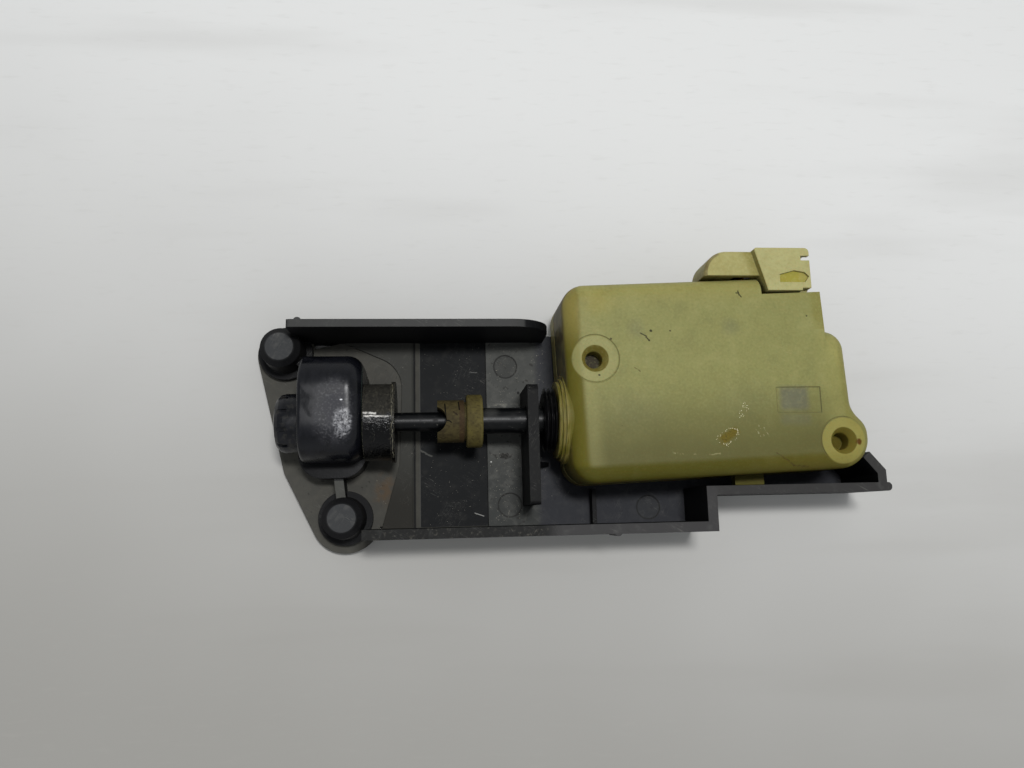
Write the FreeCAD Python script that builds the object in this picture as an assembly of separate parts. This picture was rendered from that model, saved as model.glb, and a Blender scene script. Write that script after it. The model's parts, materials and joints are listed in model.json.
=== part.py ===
import FreeCAD, Part
import math
import os

# Fuel flap lock actuator: a motor unit in a nylon housing drives a lock pin across a latch pocket,
# all carried by one moulded bracket that two screws clamp against the underside of a body panel.
# Millimetres. Origin midway between the two panel screws on the mounting face, +X along the pin
# towards the motor unit, +Z away from the panel.

V = FreeCAD.Vector

# Panel screws and bosses
SCREW_DX = 8.5
SCREW_DY = 23.0
SCREW_HOLE_R = 2.1
SCREW_HOLE_DEPTH = 12.0
BOSS_R = 6.0
BOSS_TAPER = 0.6
BOSS_TOP_R = 3.7
BOSS_H = 15.0
BOSS_CHAMFER_H = 1.7
BOSS_COLLAR_R = 7.4
BOSS_COLLAR_H = 5.0

# Mounting plate
PLATE_T = 2.6
PLATE_END = 22.4
PLATE_LAP = 4.0
LAP_ROUND = 9.0
LAP_SET = 3.7
LOBE_A_R = 8.1
LOBE_B_R = 9.6
PLATE_CORNER = (-8.7, -10.2)

# Pin line
PIN_Y = 2.0
PIN_R = 2.55
ROD_R = 3.55
RUN_GAP = 0.1
FIT_GAP = 0.05
SAFE_GAP = 0.3

# Travel of the pin from its rest place, towards lock (-X) and towards release (+X)
TRAVEL_LOCK = 8.9
TRAVEL_FREE = 10.0

# Tray
FLOOR_T = 3.2
WALL_TOP = 23.5
TRAY_Y0 = -28.7
TRAY_Y1 = 28.4
WALL_TOP_T = 2.1
WALL_BOTTOM_T = 2.6
TRAY_LEFT_TOP = -5.4
TRAY_LEFT_BOTTOM = 14.5
TOP_WALL_END = 64.4
TOP_WALL_ROUND = 10.5
STEP_X = 106.8
STEP_WALL_T = 2.7
SHELF_Y = -19.2
SHELF_T = 2.3
SHELF_END = 155.4
END_WALL_X = 154.1
END_WALL_Y = -13.6
END_WALL_T = 2.4
END_WALL_RUN = 6.5
FLOOR_CORNER_X = 119.7
FLOOR_CORNER_Y = 27.4
FLOOR_PAST_WALL = 6.0
FLOOR_LEFT_CUT = 8.0
BAND_X0 = 28.9
BAND_X1 = 47.8
BAND_SLOPE = 2.5
BAND_DEPTH = 0.8
NUB_R = 1.1
NUB_H = 9.0
NUB_X_TOP = -2.4
NUB_X_LOW = 80.0
MARK_R = 3.3
MARK_DEPTH = 0.2
MARKS = ((53.4, 19.2), (53.9, -20.4), (93.5, -21.9))
FLOOR_RIB_X = 77.2
FLOOR_RIB_H = 3.8
RIB_T = 1.2

# Guide wall in the tray that steadies the rod
GUIDE_X = 57.5
GUIDE_T = 2.9
GUIDE_Y0 = -20.7
GUIDE_Y1 = 11.2
GUIDE_RISE = 6.5
GUSSET_Y = -9.3
GUSSET_H = 9.0

# Latch pocket: skirt on the bracket and glossy cap above it
POCKET_X0 = -3.5
POCKET_X1 = 14.6
SKIRT_Y0 = -12.4
SKIRT_Y1 = 20.4
SKIRT_H = 11.0
SKIRT_ROUND = 6.5
POCKET_WALL = 2.1
CAP_X0 = -1.6
CAP_Y0 = -8.4
CAP_Y1 = 19.4
CAP_TOP = 27.6
CAP_ROUND = 9.8
CAP_EDGE_LEFT = 1.0
CAP_LAND = 0.25
CAP_EDGE_RIGHT = 4.2
BUSH_R = 10.2
BUSH_END = 22.7
BUSH_RIM = 0.6
BUSH_RIM_W = 1.0
SPIGOT_R = 4.2
NOSE_R = 7.85
NOSE_END = -8.3
NOSE_ROUND = 2.6
NOSE_GROOVES = 10
NOSE_GROOVE_W = 1.1
NOSE_GROOVE_D = 0.7
PIN_TIP = 2.4
PIN_TIP_CHAMFER = 1.0

# Coupling sleeve between pin and rod
SLEEVE_X0 = 33.7
SLEEVE_X1 = 45.7
SLEEVE_R = 5.7
SLEEVE_FLANGE_R = 7.15
SLEEVE_FLANGE_W = 4.3
SLEEVE_GROOVE_W = 0.6
SLEEVE_CHAMFER = 0.35
SLEEVE_MOUTH_R = 3.6
PIN_HEAD_W = 1.5
PIN_HEAD_R = 3.3
ROD_START = 38.6

# Housing
HOUSE_X0 = 67.8
HOUSE_X1 = 144.3
HOUSE_Y0 = -14.4
HOUSE_Y1 = 38.3
HOUSE_TURN = 2.2
HOUSE_PIVOT_X = 106.3
HOUSE_Z0 = 5.0
HOUSE_WALL = 1.8
MOTOR_PRESS_H = 0.65
PARTING_Z = 10.6
GASKET_T = 0.6
TOP_FILLET = 4.4
CEILING_EASE = 1.2
CORNER_R = 6.4
STEP_RIGHT_X = 138.3
STEP_RIGHT_Y = 23.0
STEP_CORNER_R = 5.6
NOTCH_X = 122.0
NOTCH_Y = 33.2
LOBE_R = 8.0
LOBE_NECK_R = 6.0
NECK_Y0 = 2.6
NECK_Y1 = 7.2
POST_A = (74.7, 16.4)
POST_B = (140.2, -6.0)
POST_R = 4.7
POST_RING_R = 6.4
POST_RING_W = 0.25
POST_RING_D = 0.15
TOP_HOLE_R = 2.3
TOP_MOUTH_R = 3.6
TOP_MOUTH_D = 2.2
TOP_HOLE_D = 6.0
WINDOW_X0 = 122.7
WINDOW_X1 = 134.8
WINDOW_Y0 = 1.5
WINDOW_Y1 = 8.4
WINDOW_D = 0.25
TAB_X0 = 114.8
TAB_X1 = 123.0
TAB_Z0 = 13.0
TAB_Z1 = 16.0
COLLAR_R = 12.0
COLLAR_W = 2.3
COLLAR_STEP = 1.6
COLLAR_STEPS = 3

# Housing screws
HS_SHANK_R = 1.7
HS_HEAD_R = 3.3
HS_HEAD_H = 1.9
HS_HEAD_SUNK = 0.3
HS_CLEAR_TOP = 9.0
PAD_R = 6.0

# Rod seals
SEAL_R = 8.7
SEAL_W = 3.4
SEAL_FOLDS = 3
SEAL_FOLD_DEPTH = 1.6
LIP_R = 6.0
LIP_W = 1.6

# Gear train
WORM_M = 0.7
WHEEL_TEETH = 24
WORM_PITCH_R = 3.0
WORM_X0 = 112.2
WORM_X1 = 121.6
WHEEL_X = 116.9
WHEEL_Y = 10.5
WHEEL_W = 3.6
PINION_M = 0.8
PINION_TEETH = 10
PINION_W = 5.1
BACKLASH = 0.12
PRESSURE = math.radians(20.0)
AXLE_R = 1.25
AXLE_BOSS_R = 3.0
SHAFT_R = 1.0

# Rack bar on the plunger
BAR_SET = 13.7
BAR_X1 = 130.0
BAR_Y0 = 0.2
BAR_DROP = 3.5
BAR_H = 4.9
RACK_MARGIN = 3.2

# Motor
MOTOR_X0 = 82.4
MOTOR_LEN = 24.5
MOTOR_R = 10.05
MOTOR_H = 15.1
CAN_T = 0.8
ENDCAP_T = 1.8
MAGNET_T = 1.7
ARMATURE_R = 6.1
ARMATURE_LEN = 11.0
SLOT_W = 1.2
COMMUTATOR_R = 2.4
COMMUTATOR_LEN = 3.2
BEARING_R = 2.6
BEARING_W = 2.0
NOSE_BOSS_W = 1.4
BRUSH_W = 2.0
BRUSH_LEN = 3.2
BRUSH_SET = 1.5
STACK_SET = 7.5
MAGNET_SET = 6.5
MAGNET_END = 3.5
MAGNET_SPAN = 11.0
MOTOR_SEAT_W = 2.0
MOTOR_SEAT_A = 3.0
MOTOR_SEAT_B = 5.0
CRADLE_W = 3.5
CRADLE_GAP = 8.0
TUNNEL_HALF = 3.0
PLUG_W = 1.5
WORM_BEARING_R = 2.9
SADDLE_T = 0.9
BEARING_GAP = 1.0

# Connector
FAIRING_X0 = 105.8
FAIRING_Y1 = 46.2
FAIRING_ROUND = 6.6
FAIRING_TOP = 28.0
FAIRING_EDGE = 1.2
FOOT_X0 = 113.2
FOOT_WALL = 1.2
FOOT_TOP = 17.0
SHROUD_X1 = 134.4
SHROUD_Y0 = 34.6
SHROUD_Y1 = 46.4
SHROUD_SLANT = 3.0
SHROUD_Z0 = 16.5
SHROUD_TOP = 30.0
SHROUD_WALL = 1.4
SHROUD_SIDE_WALL = 2.6
SOCKET_BACK = 124.0
LATCH_X0 = 125.8
LATCH_Y0 = 36.8
LATCH_Y1 = 40.1
LATCH_D = 0.7
KEYWAY_D = 2.4
KEYWAY_W = 1.3
KEYWAY_SET = 2.2
BLADE_W = 2.3
BLADE_T = 0.8
BLADE_GAP = 2.5
BLADE_END = 131.0
STRIP_T = 0.5
STRIP_W = 1.4
STRIP_RUN_GAP = 5.2

# Sizes that follow
PIN_Z = SKIRT_H + CAP_LAND + FIT_GAP + SPIGOT_R
BAR_X0 = HOUSE_X0 + BAR_SET
BAR_Z0 = PIN_Z - BAR_DROP
WHEEL_Z0 = BAR_Z0 + BAR_H + SAFE_GAP
WHEEL_R = WORM_M * WHEEL_TEETH / 2
PINION_R = PINION_M * PINION_TEETH / 2
WORM_Y = WHEEL_Y + WHEEL_R + WORM_PITCH_R
WORM_Z = WHEEL_Z0 + WHEEL_W / 2
HOUSE_TOP = WORM_Z + MOTOR_H / 2 + MOTOR_PRESS_H + HOUSE_WALL
HS_END = HOUSE_TOP - HS_CLEAR_TOP
GUIDE_TOP = PIN_Z + GUIDE_RISE
RACK_LINE = WHEEL_Y - PINION_R
COVER_Z0 = PARTING_Z + GASKET_T
HOUSE_FLOOR = HOUSE_Z0 + HOUSE_WALL
HOUSE_CEILING = HOUSE_TOP - HOUSE_WALL
MOTOR_X1 = MOTOR_X0 + MOTOR_LEN
COLLAR_X = HOUSE_X0 - COLLAR_W
ROD_HOLE_R = ROD_R + SAFE_GAP
SLEEVE_STEP = ROD_START - PIN_HEAD_W


def box(x0, x1, y0, y1, z0, z1):
    return Part.makeBox(x1 - x0, y1 - y0, z1 - z0, V(x0, y0, z0))


def rod_x(r, x0, x1, y=PIN_Y, z=PIN_Z):
    return Part.makeCylinder(r, x1 - x0, V(x0, y, z), V(1, 0, 0))


def rod_z(r, x, y, z0, z1):
    return Part.makeCylinder(r, z1 - z0, V(x, y, z0))


def cone_z(r0, r1, x, y, z0, z1):
    return Part.makeCone(r0, r1, z1 - z0, V(x, y, z0))


def fused(first, *others):
    return first.fuse(list(others)).removeSplitter()


def outline(corners, place):
    """Closed wire through corners (u, v) or (u, v, radius), each rounded; place maps u, v to space."""
    count = len(corners)
    edges = []
    ends = []
    for i, corner in enumerate(corners):
        here = V(corner[0], corner[1], 0)
        radius = corner[2] if len(corner) > 2 else 0
        before = V(*corners[i - 1][:2], 0) - here
        after = V(*corners[(i + 1) % count][:2], 0) - here
        before.normalize()
        after.normalize()
        if radius == 0:
            ends.append((here, here, here))
            continue
        half = before.getAngle(after) / 2
        reach = radius / math.tan(half)
        bisector = before + after
        bisector.normalize()
        middle = here + bisector * (radius / math.sin(half) - radius)
        ends.append((here + before * reach, middle, here + after * reach))
    for i, (start, middle, end) in enumerate(ends):
        if start != end:
            edges.append(Part.Arc(place(start), place(middle), place(end)).toShape())
        nxt = ends[(i + 1) % count][0]
        if (nxt - end).Length > 1e-6:
            edges.append(Part.makeLine(place(end), place(nxt)))
    return Part.Wire(edges)


def plan(corners, z0, z1):
    """Prism of an outline drawn in plan."""
    wire = outline(corners, lambda p: V(p.x, p.y, z0))
    return Part.Face(wire).extrude(V(0, 0, z1 - z0))


def side_xz(corners, y0, y1):
    """Prism of an outline drawn in the XZ plane."""
    wire = outline(corners, lambda p: V(p.x, y0, p.y))
    return Part.Face(wire).extrude(V(0, y1 - y0, 0))


def side_yz(corners, x0, x1):
    """Prism of an outline drawn in the YZ plane."""
    wire = outline(corners, lambda p: V(x0, p.x, p.y))
    return Part.Face(wire).extrude(V(x1 - x0, 0, 0))


def turned_x(profile):
    """Solid turned about the pin line from a closed outline of (x, radius)."""
    points = [V(x, PIN_Y, PIN_Z + r) for x, r in profile]
    face = Part.Face(Part.makePolygon(points + points[:1]))
    return face.revolve(V(0, PIN_Y, PIN_Z), V(1, 0, 0), 360)


def ridge(p, q, width, z0, z1):
    """Upright rib from plan point p to q."""
    length = math.dist(p, q)
    rib = Part.makeBox(length, width, z1 - z0, V(0, -width / 2, 0))
    rib.rotate(V(0, 0, 0), V(0, 0, 1), math.degrees(math.atan2(q[1] - p[1], q[0] - p[0])))
    rib.translate(V(p[0], p[1], z0))
    return rib


def tangent_point(p, centre, radius, side):
    """Point where the line from p touches the circle, on the given side."""
    dist = math.dist(p, centre)
    base = math.atan2(p[1] - centre[1], p[0] - centre[0])
    angle = base + side * math.acos(radius / dist)
    return centre[0] + radius * math.cos(angle), centre[1] + radius * math.sin(angle)


def save(name, *solids):
    shape = solids[0] if len(solids) == 1 else Part.makeCompound(list(solids))
    shape.exportStep("parts/" + name + ".step")


BOSS_POINTS = ((-SCREW_DX, SCREW_DY), (SCREW_DX, -SCREW_DY))


def mounting_plate():
    lobe_a, lobe_b = BOSS_POINTS
    touch_a = tangent_point(PLATE_CORNER, lobe_a, LOBE_A_R, -1)
    touch_b = tangent_point(PLATE_CORNER, lobe_b, LOBE_B_R, 1)
    lap_x = PLATE_END + PLATE_LAP
    corners = [touch_a, PLATE_CORNER + (3.0,), touch_b, lobe_b, (lap_x, TRAY_Y0 + 1)]
    corners += [(lap_x, SKIRT_Y1), (PLATE_END / 2, TRAY_Y1 - 1), lobe_a]
    plate = plan(corners, 0, PLATE_T)
    lobes = [rod_z(LOBE_A_R, *lobe_a, 0, PLATE_T), rod_z(LOBE_B_R, *lobe_b, 0, PLATE_T)]
    return fused(plate, *lobes)


def tray_floor():
    end_run = (FLOOR_CORNER_X, FLOOR_CORNER_Y)
    corners = [
        (TRAY_LEFT_BOTTOM, TRAY_Y0),
        (STEP_X, TRAY_Y0),
        (STEP_X, SHELF_Y),
        (END_WALL_X, SHELF_Y),
        (END_WALL_X, END_WALL_Y),
        end_run,
        (TOP_WALL_END + FLOOR_PAST_WALL, FLOOR_CORNER_Y),
        (TOP_WALL_END, TRAY_Y1),
        (TRAY_LEFT_TOP + FLOOR_LEFT_CUT, TRAY_Y1),
        (PLATE_END + 1.5, CAP_Y1 - 0.3, LAP_ROUND),
        (PLATE_END + 0.7, CAP_Y0),
        (TRAY_LEFT_BOTTOM + LAP_SET, TRAY_Y0 + WALL_BOTTOM_T),
    ]
    return plan(corners, 0, FLOOR_T)


def tray_walls():
    top = side_xz(
        [
            (TRAY_LEFT_TOP, 0),
            (TOP_WALL_END, 0),
            (TOP_WALL_END, WALL_TOP, TOP_WALL_ROUND),
            (TRAY_LEFT_TOP, WALL_TOP, 1.0),
        ],
        TRAY_Y1 - WALL_TOP_T,
        TRAY_Y1,
    )
    low = box(TRAY_LEFT_BOTTOM, STEP_X, TRAY_Y0, TRAY_Y0 + WALL_BOTTOM_T, 0, WALL_TOP)
    step = box(STEP_X - STEP_WALL_T, STEP_X, TRAY_Y0, SHELF_Y + SHELF_T, 0, WALL_TOP)
    shelf = plan(
        [
            (STEP_X - STEP_WALL_T, SHELF_Y),
            (SHELF_END, SHELF_Y, 1.1),
            (SHELF_END, SHELF_Y + SHELF_T, 1.1),
            (STEP_X - STEP_WALL_T, SHELF_Y + SHELF_T),
        ],
        0,
        WALL_TOP,
    )
    slope = math.atan2(FLOOR_CORNER_Y - END_WALL_Y, FLOOR_CORNER_X - END_WALL_X)
    along = V(math.cos(slope), math.sin(slope), 0)
    inward = V(-along.y, along.x, 0)
    start = V(END_WALL_X, END_WALL_Y, 0)
    bend = start + along * END_WALL_RUN
    inner_bend = bend + inward * END_WALL_T
    inner_start = V(END_WALL_X - END_WALL_T, END_WALL_Y - END_WALL_T * math.tan(slope / 2 - math.pi / 4), 0)
    end = plan(
        [
            (END_WALL_X, SHELF_Y),
            (start.x, start.y),
            (bend.x, bend.y),
            (inner_bend.x, inner_bend.y),
            (inner_start.x, inner_start.y),
            (END_WALL_X - END_WALL_T, SHELF_Y),
        ],
        0,
        WALL_TOP,
    )
    return top, low, step, shelf, end


def panel_boss(x, y):
    shoulder = BOSS_H - BOSS_CHAMFER_H
    top_r = BOSS_R - BOSS_TAPER
    shaft = cone_z(BOSS_R, top_r, x, y, 0, shoulder)
    crown = cone_z(top_r, BOSS_TOP_R, x, y, shoulder, BOSS_H)
    collar = rod_z(BOSS_COLLAR_R, x, y, 0, BOSS_COLLAR_H)
    return fused(shaft, crown, collar)


def pocket_room(z0, z1):
    """Inside of the latch pocket."""
    x0 = CAP_X0 + POCKET_WALL
    x1 = POCKET_X1 - POCKET_WALL
    y0 = CAP_Y0 + POCKET_WALL
    y1 = CAP_Y1 - POCKET_WALL
    round_r = 2.5
    return plan([(x0, y0, round_r), (x1, y0, round_r), (x1, y1, round_r), (x0, y1, round_r)], z0, z1)


def guide_wall():
    x1 = GUIDE_X + GUIDE_T
    wall = side_yz(
        [
            (GUIDE_Y0, 0),
            (GUIDE_Y1, 0),
            (GUIDE_Y1, GUIDE_TOP, 2.0),
            (GUIDE_Y0, GUIDE_TOP, 1.0),
        ],
        GUIDE_X,
        x1,
    )
    toe = COLLAR_X - SAFE_GAP
    gusset = side_xz(
        [(x1, FLOOR_T), (toe, FLOOR_T), (x1, FLOOR_T + GUSSET_H)], GUSSET_Y - RIB_T / 2, GUSSET_Y + RIB_T / 2
    )
    return fused(wall, gusset).cut(rod_x(ROD_HOLE_R, GUIDE_X, x1))


def make_bracket():
    lobe_a, lobe_b = BOSS_POINTS
    skirt = plan(
        [
            (POCKET_X0, SKIRT_Y0, SKIRT_ROUND),
            (POCKET_X1, SKIRT_Y0, SKIRT_ROUND),
            (POCKET_X1, SKIRT_Y1, SKIRT_ROUND),
            (POCKET_X0, SKIRT_Y1, SKIRT_ROUND),
        ],
        0,
        SKIRT_H,
    )
    middle_x = (POCKET_X0 + POCKET_X1) / 2
    rib_b = ridge((middle_x + 1.4, SKIRT_Y0 + 1), lobe_b, 2.5, 0, SKIRT_H - 1)
    rib_a = ridge((POCKET_X0 + 3, SKIRT_Y1 - 4), lobe_a, RIB_T, 0, SKIRT_H - 1)
    floor_rib = box(
        FLOOR_RIB_X - RIB_T / 2,
        FLOOR_RIB_X + RIB_T / 2,
        TRAY_Y0,
        long_side_y(HOUSE_Y0, FLOOR_RIB_X) - 1.0,
        0,
        FLOOR_T + FLOOR_RIB_H,
    )
    pads = [rod_z(PAD_R, *post, 0, HOUSE_Z0) for post in (POST_A, POST_B)]
    gate_ends = ((NUB_X_TOP, TRAY_Y1 - NUB_R / 2), (NUB_X_LOW, TRAY_Y0 + NUB_R / 2))
    nubs = [rod_z(NUB_R, *end, WALL_TOP - NUB_H, WALL_TOP) for end in gate_ends]
    solid = fused(
        mounting_plate(),
        tray_floor(),
        *tray_walls(),
        *[panel_boss(*point) for point in BOSS_POINTS],
        skirt,
        rib_a,
        rib_b,
        floor_rib,
        guide_wall(),
        *pads,
        *nubs,
    )
    band = side_xz(
        [
            (BAND_X0 - BAND_SLOPE, FLOOR_T),
            (BAND_X0, FLOOR_T - BAND_DEPTH),
            (BAND_X1, FLOOR_T - BAND_DEPTH),
            (BAND_X1, FLOOR_T),
        ],
        TRAY_Y0 + WALL_BOTTOM_T,
        TRAY_Y1 - WALL_TOP_T,
    )
    cuts = [band, pocket_room(-1, SKIRT_H + 1)]
    cuts += [rod_z(MARK_R, x, y, FLOOR_T - MARK_DEPTH, FLOOR_T) for x, y in MARKS]
    cuts += [rod_z(SCREW_HOLE_R, *point, -1, SCREW_HOLE_DEPTH) for point in BOSS_POINTS]
    head_top = HS_HEAD_SUNK + HS_HEAD_H
    for post in (POST_A, POST_B):
        cuts.append(rod_z(HS_HEAD_R + SAFE_GAP, *post, -1, head_top))
        cuts.append(rod_z(HS_SHANK_R + SAFE_GAP, *post, 0, HOUSE_Z0 + 1))
    save("bracket", solid.cut(cuts))


def cap_block(inset, x0, x1, z0):
    """Arched block of the pocket cap, drawn smaller all round by inset."""
    round_r = CAP_ROUND - inset
    top = CAP_TOP - inset
    return side_yz(
        [
            (CAP_Y0 + inset, z0),
            (CAP_Y1 - inset, z0),
            (CAP_Y1 - inset, top, round_r),
            (CAP_Y0 + inset, top, round_r),
        ],
        x0,
        x1,
    )


def make_pocket_cap():
    outer = cap_block(0, CAP_X0, POCKET_X1, SKIRT_H)
    for face_x, radius in ((CAP_X0, CAP_EDGE_LEFT), (POCKET_X1, CAP_EDGE_RIGHT)):
        rim = []
        for edge in outer.Edges:
            box_of = edge.BoundBox
            on_face = abs(box_of.XMin - face_x) < 1e-6 and abs(box_of.XMax - face_x) < 1e-6
            if on_face and box_of.ZMax > SKIRT_H + 0.01:
                rim.append(edge)
        outer = outer.makeFillet(radius, rim)
    inner = cap_block(POCKET_WALL, CAP_X0 + POCKET_WALL, POCKET_X1 - POCKET_WALL, SKIRT_H)
    holes = rod_x(SPIGOT_R + FIT_GAP, CAP_X0 - 1, POCKET_X1 + 1)
    save("pocket_cap", outer.cut([inner, holes]))


def make_tip_socket():
    steps = [math.radians(angle) for angle in (0, 30, 60, 90)]
    profile = [(NOSE_END + NOSE_ROUND * (1 - math.sin(a)), NOSE_R - NOSE_ROUND * (1 - math.cos(a))) for a in steps]
    body = turned_x([(CAP_X0, 0), (CAP_X0, NOSE_R)] + profile + [(NOSE_END, 0)])
    body = body.cut(box(POCKET_X0, CAP_X0 + 1, PIN_Y - NOSE_R, PIN_Y + NOSE_R, 0, SKIRT_H))
    spigot = rod_x(SPIGOT_R, CAP_X0, CAP_X0 + POCKET_WALL)
    depth = PIN_TIP - TRAVEL_LOCK - SAFE_GAP
    bore = rod_x(PIN_R + SAFE_GAP, depth, CAP_X0 + POCKET_WALL + 1)
    cuts = [bore]
    for i in range(NOSE_GROOVES):
        groove = box(NOSE_END - 1, POCKET_X0 - 1.2, -NOSE_GROOVE_W / 2, NOSE_GROOVE_W / 2, 0, NOSE_R)
        groove = groove.cut(rod_x(NOSE_R - NOSE_GROOVE_D, NOSE_END - 1, POCKET_X0, 0, 0))
        groove.rotate(V(0, 0, 0), V(1, 0, 0), (i + 0.5) * 360.0 / NOSE_GROOVES)
        groove.translate(V(0, PIN_Y, PIN_Z))
        cuts.append(groove)
    save("pin_tip_socket", fused(body, spigot).cut(cuts))


def make_guide_bush():
    spigot_x = POCKET_X1 - POCKET_WALL
    body = rod_x(BUSH_R, POCKET_X1, BUSH_END)
    rim = rod_x(BUSH_R + BUSH_RIM, BUSH_END - BUSH_RIM_W, BUSH_END)
    spigot = rod_x(SPIGOT_R, spigot_x, POCKET_X1)
    bore = rod_x(PIN_R + RUN_GAP, spigot_x - 1, BUSH_END + 1)
    dish = Part.makeCone(PIN_R + RUN_GAP, PIN_R + 1.6, 1.5, V(BUSH_END - 1.5, PIN_Y, PIN_Z), V(1, 0, 0))
    save("pin_guide_bush", fused(body, rim, spigot).cut([bore, dish]))


def make_lock_pin():
    shaft = rod_x(PIN_R, PIN_TIP, SLEEVE_STEP)
    tip = [e for e in shaft.Edges if abs(e.BoundBox.XMax - PIN_TIP) < 1e-6]
    shaft = shaft.makeChamfer(PIN_TIP_CHAMFER, tip)
    head = rod_x(PIN_HEAD_R, SLEEVE_STEP, ROD_START)
    save("lock_pin", fused(shaft, head))


def make_sleeve():
    flange_x = SLEEVE_X1 - SLEEVE_FLANGE_W
    body = rod_x(SLEEVE_R, SLEEVE_X0, flange_x)
    flange = rod_x(SLEEVE_FLANGE_R, flange_x, SLEEVE_X1)
    flange = flange.makeChamfer(SLEEVE_CHAMFER, [e for e in flange.Edges if isinstance(e.Curve, Part.Circle)])
    groove = rod_x(SLEEVE_R, flange_x - SLEEVE_GROOVE_W, flange_x)
    groove = groove.cut(rod_x(SLEEVE_R - 0.5, flange_x - SLEEVE_GROOVE_W, flange_x))
    mouth = Part.makeCylinder(SLEEVE_MOUTH_R, 4 * SLEEVE_R)
    mouth.translate(V(SLEEVE_X0 - 1.2, PIN_Y, PIN_Z - 2 * SLEEVE_R))
    narrow = rod_x(PIN_R + FIT_GAP, SLEEVE_X0 - 1, SLEEVE_STEP)
    wide = rod_x(ROD_R + FIT_GAP, SLEEVE_STEP, SLEEVE_X1 + 1)
    save("coupling_sleeve", fused(body, flange).cut([groove, mouth, narrow, wide]))


def gear_profile(module, teeth, z, turn):
    """Closed outline of an involute gear with the backlash taken off its flanks."""
    pitch_r = module * teeth / 2
    base_r = pitch_r * math.cos(PRESSURE)
    tip_r = pitch_r + 0.9 * module
    root_r = pitch_r - 1.2 * module
    inv = math.tan(PRESSURE) - PRESSURE
    half_tooth = math.pi / (2 * teeth) - BACKLASH / (2 * pitch_r)
    flank = [(root_r, half_tooth + inv)]
    for step in range(4):
        r = base_r + (tip_r - base_r) * step / 3 if root_r < base_r else root_r + (tip_r - root_r) * step / 3
        phi = math.acos(min(1.0, base_r / r))
        flank.append((r, half_tooth + inv - (math.tan(phi) - phi)))
    points = []
    for tooth in range(teeth):
        middle = turn + 2 * math.pi * tooth / teeth
        sides = [(r, middle - a) for r, a in flank] + [(r, middle + a) for r, a in reversed(flank)]
        points += [V(r * math.cos(a), r * math.sin(a), z) for r, a in sides]
    kept = [p for i, p in enumerate(points) if (p - points[i - 1]).Length > 1e-4]
    return Part.makePolygon(kept + kept[:1])


# Each gear has a tooth facing what it meshes with, and the worm and rack have a space there
def make_worm_wheel():
    lead = math.atan(WORM_M / 2 / WORM_PITCH_R)
    twist = WHEEL_W * math.tan(lead) / WHEEL_R
    turn = math.pi / 2
    low = gear_profile(WORM_M, WHEEL_TEETH, WHEEL_Z0, turn - twist / 2)
    high = gear_profile(WORM_M, WHEEL_TEETH, WHEEL_Z0 + WHEEL_W, turn + twist / 2)
    wheel = Part.makeLoft([low, high], True, True)
    wheel.translate(V(WHEEL_X, WHEEL_Y, 0))
    bore = rod_z(AXLE_R + RUN_GAP / 2, WHEEL_X, WHEEL_Y, WHEEL_Z0 - 1, WHEEL_Z0 + WHEEL_W + 1)
    web = rod_z(WHEEL_R - 2.2, WHEEL_X, WHEEL_Y, WHEEL_Z0 + WHEEL_W - 0.8, WHEEL_Z0 + WHEEL_W)
    web = web.cut(rod_z(AXLE_R + 1.6, WHEEL_X, WHEEL_Y, WHEEL_Z0, WHEEL_Z0 + WHEEL_W))
    save("worm_wheel", wheel.cut([bore, web]))


def make_pinion():
    z0 = WHEEL_Z0 - PINION_W
    gear = Part.Face(gear_profile(PINION_M, PINION_TEETH, z0, -math.pi / 2)).extrude(V(0, 0, PINION_W))
    gear.translate(V(WHEEL_X, WHEEL_Y, 0))
    save("drive_pinion", gear.cut(rod_z(AXLE_R + RUN_GAP / 2, WHEEL_X, WHEEL_Y, z0 - 1, WHEEL_Z0 + 1)))


def make_worm():
    pitch = math.pi * WORM_M
    root = WORM_PITCH_R - 1.2 * WORM_M
    tip = WORM_PITCH_R + 0.9 * WORM_M
    length = WORM_X1 - WORM_X0
    slope = math.tan(PRESSURE)
    half = pitch / 4 - BACKLASH / 2
    sunk = root - 0.2
    low_half = half + (WORM_PITCH_R - sunk) * slope
    tip_half = half - (tip - WORM_PITCH_R) * slope
    turns = (length - 2 * low_half) / pitch
    helix = Part.makeHelix(pitch, turns * pitch, sunk)
    corners = [V(sunk, 0, -low_half), V(tip, 0, -tip_half), V(tip, 0, tip_half), V(sunk, 0, low_half)]
    section = Part.makePolygon(corners + corners[:1])
    thread = Part.Wire(helix.Edges).makePipeShell([section], True, True)
    thread.rotate(V(0, 0, 0), V(0, 1, 0), 90)
    start = WORM_X0 + low_half
    thread.rotate(V(0, 0, 0), V(1, 0, 0), 360.0 * (0.25 - (WHEEL_X - start) / pitch))
    thread.translate(V(start, WORM_Y, WORM_Z))
    core = rod_x(root, WORM_X0, WORM_X1, WORM_Y, WORM_Z)
    bore = rod_x(SHAFT_R + FIT_GAP, WORM_X0 - 1, WORM_X1 + 1, WORM_Y, WORM_Z)
    save("worm", core.fuse(thread).cut(bore))


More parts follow.
